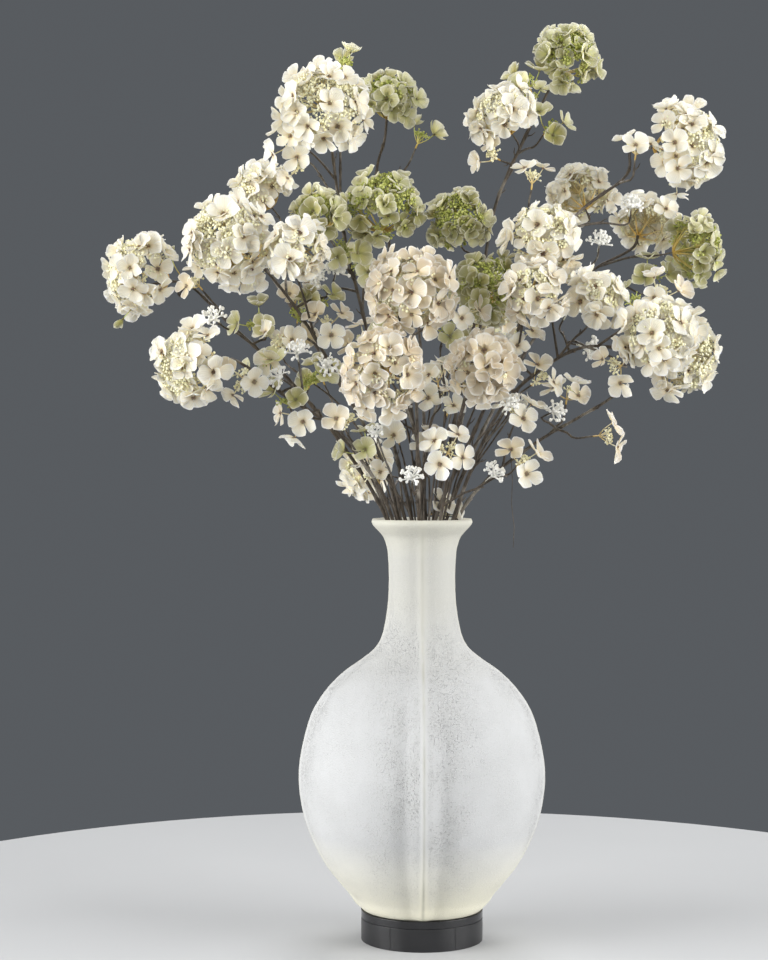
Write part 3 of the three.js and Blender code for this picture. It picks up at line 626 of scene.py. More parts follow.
branches = {
    "branch_01": {
        "mouth": (-41, -2), "way": [(-84, -12, 540), (-142, -20, 612), (-211, -28, 678)],
        "carries": [
            head("cream_bloom_01", (-297, -30, 728), (-0.9, -0.4, 0.2), 46),
            tuft("sprig_01", (-246, -66, 722), (-0.45, -0.7, 0.55), 2, 3),
            buds(26, (-222, -62, 679), (-0.3, -0.7, 0.3), 2.6),
            tuft("filler_01", (-158, -70, 652), (-0.2, -0.95, 0.1), 3, 2.3),
            tuft("filler_02", (-182, -50, 681), (-0.3, -0.8, 0.5), 3, 2.6, green=True),
            tuft("filler_03", (-262, -34, 742), (0.1, -0.45, 0.9), 1, 4.1, leaf=True),
            tuft("filler_38", (-318, -40, 684), (-0.5, -0.3, -0.8), 1, 4.5, leaf=True),
        ],
    },
    "branch_02": {
        "mouth": (-34, -23), "way": [(-55, -38, 512), (-98, -56, 564), (-146, -78, 596)],
        "carries": [
            head("cream_bloom_02", (-237, -124, 628), (-0.85, -0.5, -0.1), 42),
            tuft("sprig_02", (-194, -118, 610), (-0.3, -0.85, -0.3), 3, 3.2),
            tuft("sprig_03", (-139, -70, 566), (-0.6, -0.6, -0.4), 3, 2.2),
            tuft("sprig_04", (-79, -112, 572), (0.2, -0.9, 0.35), 2, 1.3),
            buds(26, (-133, -102, 640), (-0.1, -0.7, 0.7), 2.6),
            buds(14, (-151, -96, 615), (-0.6, -0.6, 0.4), 3.1),
            tuft("filler_04", (-172, -60, 633), (-0.5, -0.2, 0.8), 3, 3.2, green=True),
            tuft("filler_05", (-146, -80, 594), (-0.2, -0.8, 0.5), 2, 2.2, green=True),
            tuft("filler_06", (-119, -60, 616), (0.2, -0.8, 0.5), 1, 2.6, green=True),
        ],
    },
    "branch_03": {
        "mouth": (-20, -6), "way": [(-50, -18, 540), (-94, -36, 622), (-130, -52, 682), (-160, -66, 722)],
        "carries": [
            head("cream_bloom_03", (-200, -104, 757), (-0.4, -0.85, 0.3), 47),
            head("cream_bloom_04", (-177, 42, 825), (-0.5, -0.4, 0.75), 35, 3.5),
            head("cream_bloom_06", (-132, -140, 745), (0.2, -0.9, 0.2), 29, 2.6),
            buds(30, (-113, -30, 721), (-0.5, -0.5, 0.7), 3.2),
            buds(20, (-102, -66, 627), (-0.1, -0.7, 0.5), 1.9),
            tuft("filler_07", (-100, -60, 678), (0.1, -0.9, 0.35), 3, 2.5),
            tuft("filler_08", (-135, -30, 711), (0.2, -0.8, 0.6), 2, 2.8),
            tuft("filler_09", (-111, -30, 703), (0.1, -0.8, 0.5), 2, 2.7, green=True),
            tuft("filler_10", (-134, -40, 689), (0.1, -0.8, 0.6), 1, 2.4, green=True),
        ],
    },
    "branch_04": {
        "mouth": (-12, 15), "way": [(-32, 14, 548), (-60, 6, 668), (-86, 0, 778)],
        "carries": [
            head("cream_bloom_05", (-106, -32, 903), (-0.1, -0.9, 0.4), 49),
            head("green_bloom_03", (-110, -70, 785), (-0.35, -0.65, 0.65), 28, 2.5),
            tuft("sprig_11", (-84, 34, 974), (0.15, 0.15, 0.97), 2, 3.2, green=True),
            buds(30, (-94, -20, 733), (0.2, -0.5, 0.8), 2.4),
            buds(16, (-37, 10, 565), (-0.3, -0.6, 0.7), 1.0),
            tuft("filler_11", (-42, -30, 678), (0.1, -0.9, 0.3), 2, 1.9, green=True),
            tuft("filler_31", (-155, -20, 877), (-0.7, -0.6, 0.2), 3, 3.5),
            tuft("filler_32", (-140, -10, 848), (-0.4, -0.8, -0.2), 2, 3.2),
            tuft("filler_39", (-84, -40, 760), (0.1, -0.8, 0.3), 4, 2.5, green=True),
            tuft("filler_40", (-68, -10, 742), (-0.1, -0.9, 0.1), 2, 2.2, green=True),
        ],
    },
    "branch_05": {
        "mouth": (4, 20), "way": [(-8, 34, 560), (-26, 46, 690), (-40, 54, 800), (-50, 56, 850)],
        "carries": [
            head("green_bloom_01", (-37, 60, 928), (0.1, -0.45, 0.88), 33),
            head("green_bloom_02", (-43, -14, 797), (0, -0.6, 0.8), 46, 2.3),
            tuft("sprig_13", (2, 72, 898), (0.4, 0.1, 0.9), 2, 3.2, green=True),
            buds(20, (-20, 24, 586), (0.1, -0.5, 0.8), 1.0),
        ],
    },
    "branch_06": {
        "mouth": (-4, -40), "way": [(-6, -60, 540), (-8, -74, 612)],
        "carries": [
            head("cream_bloom_07", (-14, -132, 702), (0, -0.9, 0.35), 43),
            head("cream_bloom_08", (-41, -176, 618), (-0.12, -0.97, 0.12), 40, 1.2),
            buds(22, (-12, -84, 508), (-0.1, -0.6, 0.8), 0.4),
            tuft("filler_41", (46, -120, 680), (0.6, -0.8, 0.1), 2, 2.6),
        ],
    },
    "branch_07": {
        "mouth": (20, -34), "way": [(32, -42, 540), (48, -44, 606)],
        "carries": [
            head("green_bloom_05", (70, -50, 710), (0.05, -0.85, 0.35), 39),
            head("cream_bloom_09", (61, -126, 624), (0.15, -0.9, 0.2), 33, 1.4),
            tuft("sprig_05", (26, -114, 540), (0.05, -0.95, 0.25), 4, 0.5),
            buds(22, (74, -58, 511), (0.7, -0.3, 0.6), 0.15),
            buds(20, (45, -20, 648), (-0.2, -0.5, 0.8), 2.2),
        ],
    },
    "branch_08": {
        "mouth": (16, 8), "way": [(36, 12, 570), (62, 14, 700), (78, 14, 796), (98, 16, 850)],
        "carries": [
            head("green_bloom_06", (159, 28, 970), (0.35, -0.7, 0.6), 37),
            head("cream_bloom_12", (90, -16, 899), (-0.45, -0.45, 0.77), 34, 3.6),
            head("green_bloom_04", (41, -6, 786), (-0.1, -0.75, 0.6), 35, 2.4),
            tuft("sprig_12", (120, 66, 938), (-0.1, 0.6, 0.8), 3, 4.2, green=True),
            tuft("filler_12", (27, 4, 473), (0.8, -0.4, 0.25), 2, 0.05, lead=6),
            tuft("filler_16", (113, 6, 949), (-0.4, -0.5, 0.75), 3, 4.7, green=True),
            tuft("filler_17", (143, 4, 898), (0.4, -0.7, 0.5), 3, 4.2, green=True),
            tuft("filler_33", (71, -10, 862), (-0.6, -0.5, 0.2), 2, 3.3),
        ],
    },
    "branch_09": {
        "mouth": (16, -12), "way": [(60, -12, 566), (114, -4, 690), (164, 2, 790), (224, 10, 840)],
        "carries": [
            head("cream_bloom_14", (281, 18, 875), (0.93, -0.38, 0.03), 50),
            head("cream_bloom_13", (183, 78, 825), (-0.15, 0.6, 0.75), 35, 2.7),
            head("cream_bloom_10", (128, -60, 762), (0.1, -0.75, 0.6), 40, 2.2),
            tuft("sprig_10", (234, -20, 874), (0.1, -0.35, 0.93), 3, 3.6),
            buds(36, (231, 20, 807), (0.1, -0.5, 0.8), 2.9),
            tuft("filler_34", (121, -20, 842), (0.1, -0.3, 0.95), 2, 2.6),
        ],
    },
    "branch_10": {
        "mouth": (35, -20), "way": [(62, -30, 540), (92, -42, 594), (136, -56, 632), (180, -66, 650)],
        "carries": [
            head("cream_bloom_16", (243, -120, 657), (-0.05, -0.92, 0.35), 40),
            head("cream_bloom_17", (273, -20, 644), (0.88, -0.45, 0.1), 47, 4.3),
            head("cream_bloom_18", (181, -100, 695), (0.2, -0.65, 0.7), 30, 3.2),
            head("cream_bloom_11", (113, -130, 703), (0.1, -0.9, 0.15), 31, 2.1),
            buds(30, (158, -24, 689), (0.4, -0.4, 0.8), 3.5),
            buds(30, (178, -14, 652), (0.8, -0.3, -0.2), 3.9),
            tuft("filler_13", (106, -60, 657), (0.4, -0.8, 0.3), 2, 2.6),
            tuft("filler_35", (203, -110, 628), (-0.3, -0.9, 0.0), 3, 3.9),
            tuft("filler_36", (252, -90, 710), (0.1, -0.7, 0.6), 3, 4.1),
            tuft("filler_37", (157, -60, 727), (0.5, -0.6, 0.5), 2, 3.2),
        ],
    },
    "branch_11": {
        "mouth": (29, 28), "way": [(70, 54, 562), (128, 82, 664), (186, 100, 736)],
        "carries": [
            head("cream_bloom_15", (258, 121, 797), (0.4, 0.6, 0.65), 35),
            head("green_bloom_07", (303, 69, 766), (0.93, 0.25, 0.2), 39, 3.3),
            buds(26, (200, 52, 770), (0.1, -0.6, 0.8), 2.7),
            buds(26, (178, 160, 742), (-0.2, 0.8, 0.6), 2.4),
            tuft("filler_14", (262, 60, 742), (0.2, -0.7, 0.6), 3, 3.1, green=True),
            tuft("filler_15", (236, 60, 712), (-0.2, -0.6, 0.8), 1, 2.7, green=True),
        ],
    },
    "branch_12": {
        "mouth": (42, 4), "way": [(74, 0, 508), (126, -14, 548), (166, -22, 572)],
        "carries": [
            buds(3, (216, -30, 604), (0.7, -0.1, 0.5)),
            tuft("sprig_06", (108, -72, 530), (0.35, -0.75, 0.4), 3, 0.8),
            tuft("sprig_07", (104, -62, 584), (0.25, -0.6, 0.75), 3, 1.3),
            tuft("sprig_08", (158, -36, 606), (0.1, -0.5, 0.85), 3, 2.3),
            tuft("sprig_09", (202, -58, 556), (0.92, -0.3, 0.1), 2, 2.5),
            buds(26, (140, -40, 580), (0.5, -0.7, 0.3), 2.5),
        ],
    },
    "branch_13": {
        "mouth": (-27, 29), "way": [(-45, 50, 530), (-84, 90, 600)],
        "carries": [
            head("cream_bloom_22", (-199, 130, 762), (-0.5, 0.8, 0.35), 37),
            head("cream_bloom_19", (-57, 98, 514), (-0.85, -0.25, 0.2), 30, 0.35),
        ],
    },
    "branch_14": {
        "mouth": (2, 41), "way": [(4, 70, 540), (2, 100, 630)],
        "carries": [
            head("cream_bloom_20", (-8, 160, 723), (-0.1, 0.8, 0.6), 41),
            head("cream_bloom_21", (79, 170, 707), (0.4, 0.85, 0.35), 37, 1.1),
        ],
    },
}
# slender stems that rise from the mouth between the branches: mouth, way and what each one carries
slenderStems = [
    ((-30, 8), [(-52, 10, 530), (-92, 6, 590)], tuft("filler_21", (-141, -20, 659), (0.2, -0.8, 0.5), 2)),
    ((-28, -14), [(-36, -10, 486)], tuft("filler_22", (-53, -18, 516), (-0.3, -0.6, 0.7), 2)),
    ((-8, 2), [(-16, 6, 510)], tuft("filler_23", (-29, 0, 560), (-0.2, -0.6, 0.7), 2)),
    ((2, -8), [(5, -8, 530), (10, -8, 572)], tuft("filler_24", (16, -20, 624), (-0.1, -0.6, 0.8), 2)),
    ((-14, -28), [(-34, -30, 500)], tuft("filler_25", (-70, -38, 545), (-0.5, -0.5, 0.6), 3, green=True)),
    ((8, -24), [(15, -22, 520), (24, -14, 552)], tuft("filler_26", (31, -14, 592), (0.2, -0.5, 0.8), 2)),
    ((28, -4), [(42, -16, 520), (62, -38, 552)], buds(30, (88, -70, 586), (0.3, -0.7, 0.6))),
    ((30, 12), [(56, 6, 530), (90, -16, 572)], tuft("filler_27", (129, -56, 619), (0.6, -0.6, 0.5), 2)),
    ((-12, 32), [(-8, 34, 520), (2, 32, 560)], tuft("filler_28", (12, 20, 606), (0.1, -0.6, 0.8), 3)),
    ((8, 4), [(8, 8, 506)], tuft("filler_29", (6, 0, 550), (0.0, -0.5, 0.8), 2)),
    ((24, -22), [(40, -30, 540), (62, -40, 598)], buds(24, (87, -50, 652), (0.3, -0.5, 0.8))),
    ((16, 30), [(24, 50, 530), (34, 64, 580)], tuft("filler_30", (46, 80, 632), (0.2, 0.5, 0.8), 3)),
    (
        (-40, 12), [(-58, 16, 512), (-84, 20, 560)],
        tuft("filler_45", (-114, 14, 626), (-0.3, -0.6, 0.7), 3, green=True),
    ),
    ((-24, -30), [(-32, -40, 506)], buds(12, (-50, -62, 556), (-0.3, -0.3, 0.9))),
    ((-20, 18), [(-26, 22, 520), (-40, 24, 590)], tuft("filler_43", (-66, 12, 664), (-0.2, -0.7, 0.6), 3)),
    ((-2, -20), [(-2, -24, 520), (-14, -36, 580)], carried((-36, -52, 640), (-0.3, -0.2, 0.9))),
    (
        (12, -12), [(18, -8, 524), (26, 0, 590)],
        tuft("filler_42", (26, 0, 676), (0.1, -0.7, 0.6), 3, green=True),
    ),
    (
        (22, 20), [(32, 26, 524), (50, 30, 590)],
        tuft("filler_44", (66, 30, 668), (0.2, -0.6, 0.7), 3, green=True),
    ),
    ((39, 15), [(54, 20, 512), (80, 24, 560)], carried((114, 20, 618), (0.5, -0.1, 0.9))),
    ((38, -10), [(50, -14, 508), (76, -24, 548)], buds(12, (102, -36, 588), (0.5, -0.2, 0.8))),
    ((-4, 30), [(-10, 34, 530), (-24, 40, 610)], carried((-20, 44, 700), (0.1, 0, 0.9))),
    ((-38, -10), [(-54, -14, 510)], carried((-82, -26, 556), (-0.6, -0.2, 0.8))),
]
fibre = {
    "hangsFrom": "branch_12", "radii": [0.5, 0.35, 0.35, 0.35, 0.3],
    "way": [(98, -7, 527), (99, -8, 505), (98, -8, 480), (101, -8, 455), (100, -8, 432)],
}


class Path:
    # a smooth curve through points
    def __init__(self, points):
        self.points = [Vector(p) for p in points]

    def at(self, share):
        p = self.points
        place = min(max(share, 0), 1) * (len(p) - 1)
        i = min(int(place), len(p) - 2)
        before = p[i - 1] if i > 0 else 2 * p[0] - p[1]
        after = p[i + 2] if i + 2 < len(p) else 2 * p[-1] - p[-2]
        return Vector([curveThrough(before[k], p[i][k], p[i + 1][k], after[k], place - i) for k in range(3)])

    def spaced(self, gap, steps=400):
        # points about gap apart along the curve
        fine = [self.at(i / steps) for i in range(steps + 1)]
        run = [0.0]
        for a, b in zip(fine, fine[1:]):
            run.append(run[-1] + (b - a).length)
        count = max(3, round(run[-1] / gap))
        made, j = [], 0
        for i in range(count + 1):
            wanted = run[-1] * i / count
            while j < steps - 1 and run[j + 1] < wanted:
                j += 1
            part = (wanted - run[j]) / max(run[j + 1] - run[j], 1e-9)
            made.append(fine[j].lerp(fine[j + 1], min(max(part, 0), 1)))
        return made


def turnTo(direction, vector):
    return up.rotation_difference(direction) @ vector


def jointOf(thing):
    facing = Vector(thing["faces"]).normalized()
    back = bloomDepth * thing["radius"] if "radius" in thing else sprigDepth if "florets" in thing else 0
    return facing, Vector(thing["at"]) - facing * back


def stemPath(branch):
    # from the vase's floor through its neck and mouth and along the branch's way to its first head
    x, y = branch["mouth"]
    facing, point = jointOf(branch["carries"][0])
    tip = point - facing * clearance
    foot = (x * stem["footShare"], y * stem["footShare"], vaseFloor + clearance)
    neck = [(x * stem["neckShare"], y * stem["neckShare"], height) for height in stem["neckHeights"]]
    mouth = (x, y, rimHeight + stem["overRim"])
    return Path([foot, *neck, mouth, *branch["way"], tip - facing * stem["lead"], tip])


def twigPath(root, thing):
    facing, point = jointOf(thing)
    tip = point - facing * clearance
    shoulder = tip - facing * thing.get("lead", twig["lead"])
    middle = root.lerp(shoulder, twig["bowAt"]) + up * (root - shoulder).length * twig["bow"]
    return Path([root, middle, shoulder, tip])


# what each point of a guide says: the kind of attribute and its plain value; the first three are lengths
guideMarks = {
    "thick": ("FLOAT", 0.0), "floret": ("FLOAT", 0.0), "bud": ("FLOAT", 0.0), "along": ("FLOAT", 0.0),
    "tint": ("FLOAT", 0.5), "variant": ("INT", 0), "turn": ("FLOAT_VECTOR", (0, 0, 0)),
}


class Guide:
    # the wire skeleton that a tree dresses: stalks are its edges, florets and buds sit on its loose points
    def __init__(self):
        self.points, self.edges = [], []
        self.marks = {name: [] for name in guideMarks}

    def add(self, point, **given):
        self.points.append(point * mm)
        for name, (_, plain) in guideMarks.items():
            value = given.get(name, plain)
            self.marks[name].append(value * mm if name in ("thick", "floret", "bud") else value)

    def stalk(self, points, thicknesses, alongs=(0, 1)):
        first, last = len(self.points), len(points) - 1
        for i, point in enumerate(points):
            self.add(point, thick=thicknesses[i], along=alongs[0] + (alongs[1] - alongs[0]) * i / last)
        self.edges += [(first + i, first + i + 1) for i in range(last)]

    def mesh(self):
        made = bpy.data.meshes.new("guide")
        made.from_pydata(self.points, self.edges, [])
        for name, (kind, _) in guideMarks.items():
            data, values = made.attributes.new(name, kind, "POINT").data, self.marks[name]
            if kind == "FLOAT_VECTOR":
                data.foreach_set("vector", [part for vector in values for part in vector])
            else:
                data.foreach_set("value", values)
        return made


# Florets: four rounded, cupped petals round a small bead, in a few shapes; a pair is a least value and
# a spread
floret = {
    "variants": 9, "stations": (0, 0.25, 0.5, 0.74, 0.92, 1), "columns": 5, "halfWidth": 0.47,
    "thickness": 0.012, "beadRadius": 0.08, "beadSides": 6,
    "leastOpen": 4, "mostOpen": 30,  # degrees that the petals rise from flat
    "cup": (0.2, 0.45), "reach": (0.92, 0.16), "width": (0.9, 0.2), "curl": (-0.8, 1.6),
    "twist": (0.12, 0.2), "unevenRise": 16, "unevenTurn": 0.16, "taper": 1.5, "blades": 4,
}
leafPair = {
    **floret, "halfWidth": 0.26, "leastOpen": 42, "mostOpen": 55, "cup": (0.5, 0.3), "taper": 0.9,
    "blades": 2,
}


def petalPoint(u, v, side, p, s):
    # u runs from the throat to the tip, v from rim to rim, and side is the upper or under face
    half = p["wide"] * math.sin(math.pi * (0.03 + 0.91 * u) ** s["taper"]) ** 0.62
    along = p["reach"] * (0.05 + 0.95 * u - 0.09 * v * v * u**3)
    across = half * v
    lift = p["cup"] * half * v * v + 0.10 * p["curl"] * u**3 - 0.07 * math.sin(math.pi * u)
    lift += p["twist"] * across + 0.035 * math.sin(p["wave"] + 4 * v + 3 * u) * u * abs(v)
    lift += side * s["thickness"] * (1.2 - u)
    cosine, sine = math.cos(p["rise"]), math.sin(p["rise"])
    return along * cosine - lift * sine, across, along * sine + lift * cosine


def addPetal(form, turn, p, s):
    # an upper and an under side that meet in a sharp rim
    rows, columns = len(s["stations"]), s["columns"]
    cosine, sine = math.cos(turn), math.sin(turn)
    index = {}
    for side in (1, -1):
        for i, u in enumerate(s["stations"]):
            for j in range(columns):
                v = 2 * j / (columns - 1) - 1
                onRim = i in (0, rows - 1) or j in (0, columns - 1)
                if side < 0 and onRim:
                    index[side, i, j] = index[1, i, j]
                    continue
                x, y, z = petalPoint(u, v, 0 if onRim else side, p, s)
                index[side, i, j] = len(form["points"])
                form["points"].append((x * cosine - y * sine, x * sine + y * cosine, z))
                form["petal"].append((v, 0.06 + 0.94 * u, 0.0))
                if onRim:
                    form["rim"].add(index[side, i, j])
    for side in (1, -1):
        for i in range(rows - 1):
            for j in range(columns - 1):
                corners = ((i, j), (i + 1, j), (i + 1, j + 1), (i, j + 1))
                quad = [index[side, a, b] for a, b in corners]
                form["faces"].append(quad if side > 0 else quad[::-1])


def addBead(form, s):
    # the bead in the eye and the small calyx under it are one closed turned form
    base, sides, r = len(form["points"]), s["beadSides"], s["beadRadius"]
    # height, radius and place along the petal's colours of each ring
    rings = [(0.02 + r * 0.6, r * 0.85, 0.0), (0.01 - r * 0.3, r, 0.0), (-0.10, r * 0.5, 0.3)]
    around = [k * math.tau / sides for k in range(sides)]
    turned = [(w * math.cos(a), w * math.sin(a), z) for z, w, _ in rings for a in around]
    form["points"] += [(0, 0, 0.02 + r), *turned, (0, 0, -0.2)]
    form["petal"] += [(0, 0, 0)] + [(0, share, 0) for _, _, share in rings for _ in around] + [(0, 0.3, 0)]
    bottom = len(form["points"]) - 1
    for k in range(sides):
        n = (k + 1) % sides
        form["faces"].append([base, base + 1 + k, base + 1 + n])
        for ring in (base + 1, base + 1 + sides):
            form["faces"].append([ring + k, ring + sides + k, ring + sides + n, ring + n])
        form["faces"].append([bottom - sides + k, bottom, bottom - sides + n])


def floretShape(name, seed, s, tightness):
    random = randomFrom(seed)
    form = {"points": [], "faces": [], "petal": [], "rim": set()}
    openness = vary(random, s["leastOpen"], s["mostOpen"] - s["leastOpen"]) * tightness
    for k in range(s["blades"]):
        p = {
            "reach": vary(random, *s["reach"]), "wide": s["halfWidth"] * vary(random, *s["width"]),
            "cup": vary(random, *s["cup"]), "curl": vary(random, *s["curl"]),
            "twist": vary(random, *s["twist"]), "wave": random() * math.tau,
            "rise": math.radians(openness + s["unevenRise"] * (random() - 0.5)),
        }
        addPetal(form, k * math.tau / s["blades"] + s["unevenTurn"] * (random() - 0.5), p, s)
    addBead(form, s)
    mesh = bpy.data.meshes.new(name)
    mesh.from_pydata(form["points"], [], form["faces"])
    kept = mesh.attributes.new("petal", "FLOAT_VECTOR", "POINT").data
    kept.foreach_set("vector", [part for place in form["petal"] for part in place])
    mesh.shade_smooth()
    crease = mesh.attributes.new("sharp_edge", "BOOLEAN", "EDGE")
    for edge in mesh.edges:
        crease.data[edge.index].value = form["rim"].issuperset(edge.vertices)
    return bpy.data.objects.new(name, mesh)


def floretCollection(name, tightness, seed):
    group = bpy.data.collections.new(name)
    scene.collection.children.link(group)
    for k in range(floret["variants"]):
        group.objects.link(floretShape(f"{name}{k}", seed + k, floret, tightness))
    group.objects.link(floretShape(f"{name}{floret['variants']}leaf", seed, leafPair, 1.0))
    return group


floretGroups = {
    "cream": floretCollection("creamFloret", 1.0, 71),
    "green": floretCollection("greenFloret", 1.7, 91),
}


def flowerTree():
    # stalks along the guide's edges, florets and buds on its marked points
    tree, given, result = newGeometryTree("lacecap", {
        "Florets": "Collection", "Stalk Sides": 5, "Bud Segments": 5, "Bud Spread": 0.25, "Seed": 1,
        "Petal Finish": "Material", "Bud Finish": "Material", "Stalk Finish": "Material",
    })

    compare = {"data_type": "FLOAT", "operation": "GREATER_THAN"}
    turn = wire(tree, "FunctionNodeEulerToRotation", {0: readAttribute(tree, "turn", "FLOAT_VECTOR")})

    def copies(shape, amount, size, **more):
        # one copy of shape on each point that has an amount
        chosen = wire(tree, "FunctionNodeCompare", {0: amount, 1: 0.00001}, **compare)
        return wire(tree, "GeometryNodeInstanceOnPoints", {
            "Points": given["Geometry"], "Selection": chosen, "Instance": shape, "Rotation": turn,
            "Scale": size, **more,
        })

    lines = wire(tree, "GeometryNodeMeshToCurve", {"Mesh": given["Geometry"]})
    ring = wire(tree, "GeometryNodeCurvePrimitiveCircle", {"Radius": 1.0, "Resolution": given["Stalk Sides"]})
    tubes = wire(tree, "GeometryNodeCurveToMesh", {
        "Curve": lines, "Profile Curve": ring, "Scale": readAttribute(tree, "thick"), "Fill Caps": True,
    })
    shapes = wire(tree, "GeometryNodeCollectionInfo", {
        "Collection": given["Florets"], "Separate Children": True, "Reset Children": True,
    }, transform_space="ORIGINAL")
    picked = {"Pick Instance": True, "Instance Index": readAttribute(tree, "variant", "INT")}
    floretSize, budSize = readAttribute(tree, "floret"), readAttribute(tree, "bud")
    florets = copies(shapes, floretSize, floretSize, **picked)
    ball = {"Radius": 1.0, "Rings": 3, "Segments": given["Bud Segments"]}
    ball = smoothShaded(wire(tree, "GeometryNodeMeshUVSphere", ball))
    spread = {2: 1.0 - given["Bud Spread"], 3: 1.0 + given["Bud Spread"], "Seed": given["Seed"]}
    drawn = wire(tree, "FunctionNodeRandomValue", spread, 1, data_type="FLOAT")
    beads = copies(ball, budSize, budSize * drawn)
    join = tree.nodes.new("GeometryNodeJoinGeometry")
    plug(finished(beads, given["Bud Finish"]), join.inputs[0])
    plug(finished(florets, given["Petal Finish"]), join.inputs[0])
    plug(finished(smoothShaded(tubes), given["Stalk Finish"]), join.inputs[0])
    plug(Value(join.outputs[0]), result)
    return tree


lacecap = flowerTree()


def facingTurn(outward, spin):
    return tuple((up.rotation_difference(outward) @ Quaternion(up, spin)).to_euler("XYZ"))


def wayOf(polar, azimuth):
    return Vector((math.sin(polar) * math.cos(azimuth), math.sin(polar) * math.sin(azimuth), math.cos(polar)))


def capDirections(count, widest, phase, random, jitter, narrowest=0.0):
    # ways that are spread evenly over a cap, or over a band where narrowest is given
    found = []
    top, bottom = math.cos(narrowest), math.cos(widest)
    for i in range(count):
        share = (i + 0.5) / count
        polar = math.acos(top - share * (top - bottom)) + jitter * (random() - 0.5)
        found.append(wayOf(polar, phase + i * goldenAngle + jitter * (random() - 0.5)))
    return found


def shaken(way, random, amount):
    return (way + Vector((random() - 0.5, random() - 0.5, random() - 0.5)) * amount).normalized()


def skipDraws(random, count=8):
    # keeps each head and sprig as the solids have it, where a floret takes that many draws more
    for _ in range(count):
        random()


# Blooms: sizes in millimetres, angles in degrees off the facing, heights and depths as shares of the radius;
# a pair is a least value and a spread
bloom = {
    "radiusPerFloret": 5.6, "widest": 98, "jitter": 0.16, "depth": (0.84, 0.10), "tilt": 0.5,
    "creamSize": 19.0, "greenSize": 16.0, "sizes": (0.9, 0.2), "spin": 1.6,
    # smaller florets round the dome, as a number for each millimetre of radius
    "moreFlorets": 0.40, "greenFlorets": 0.62, "whiteFlorets": 0.12, "moreFrom": 24, "moreTo": 100,
    "moreDepth": (0.72, 0.14), "moreTilt": 0.8, "moreSizes": (0.78, 0.2),
    "loose": 0.14, "looseDepth": (0.96, 0.12),
    # heads that are nearly all florets
    "full": ("cream_bloom_07", "cream_bloom_08", "cream_bloom_09"), "fullFlorets": 0.58,
    "fullDepth": (0.82, 0.16), "fullRise": 0.02, "fullDome": 0.46,
    # clusters of buds: in the dome, and thinner ones between the florets round it
    "domeTo": 56, "domeClusters": 0.68, "greenDome": 0.74, "domeRise": 0.76, "budsInDome": 11,
    "skirtTo": 100, "skirtClusters": 0.50, "skirtRise": 0.66, "budsInSkirt": 8,
    "riseSpread": 0.08, "clusterReach": 0.14, "clusterOpen": 78, "lengths": (0.75, 0.5),
    "creamBud": 1.5, "greenBud": 1.55, "branchRadius": 0.75, "pedicelRadius": 0.5,
    # golden ribs under the florets, and where stalks may leave them
    "ribs": 7, "greenRibs": 10, "ribRadius": 1.35, "ribOpen": (46, 18), "ribReach": (0.66, 0.12),
    "forksAt": (0.45, 0.7, 1.0),
    # how far from the bouquet's middle the heads turn from peach to white: partly their own tone, partly
    # painted light, lighter on the outer heads and darker in the middle
    "heart": (10, 660), "peachAndShadeTo": 60, "whiteAndLitFrom": 180,
}


def budCluster(guide, root, way, length, size, count, random, radius):
    # short stubby pedicels that fan out from one point, each with a round bud on its end
    for local in capDirections(count, math.radians(bloom["clusterOpen"]), random() * math.tau, random, 0.5):
        end = root + turnTo(way, local) * length * vary(random, *bloom["lengths"])
        guide.stalk([root, end], [radius * 1.2, radius], (0.55, 1.0))
        guide.add(end, bud=size, tint=random())


def whiteAndLitShare(thing, s):
    # the heads' own peach and white tones, with painted light on the outer heads and painted shade on the
    # middle ones
    away = math.dist((thing["at"][0], thing["at"][2]), s["heart"])
    return min(max((away - s["peachAndShadeTo"]) / (s["whiteAndLitFrom"] - s["peachAndShadeTo"]), 0), 1)


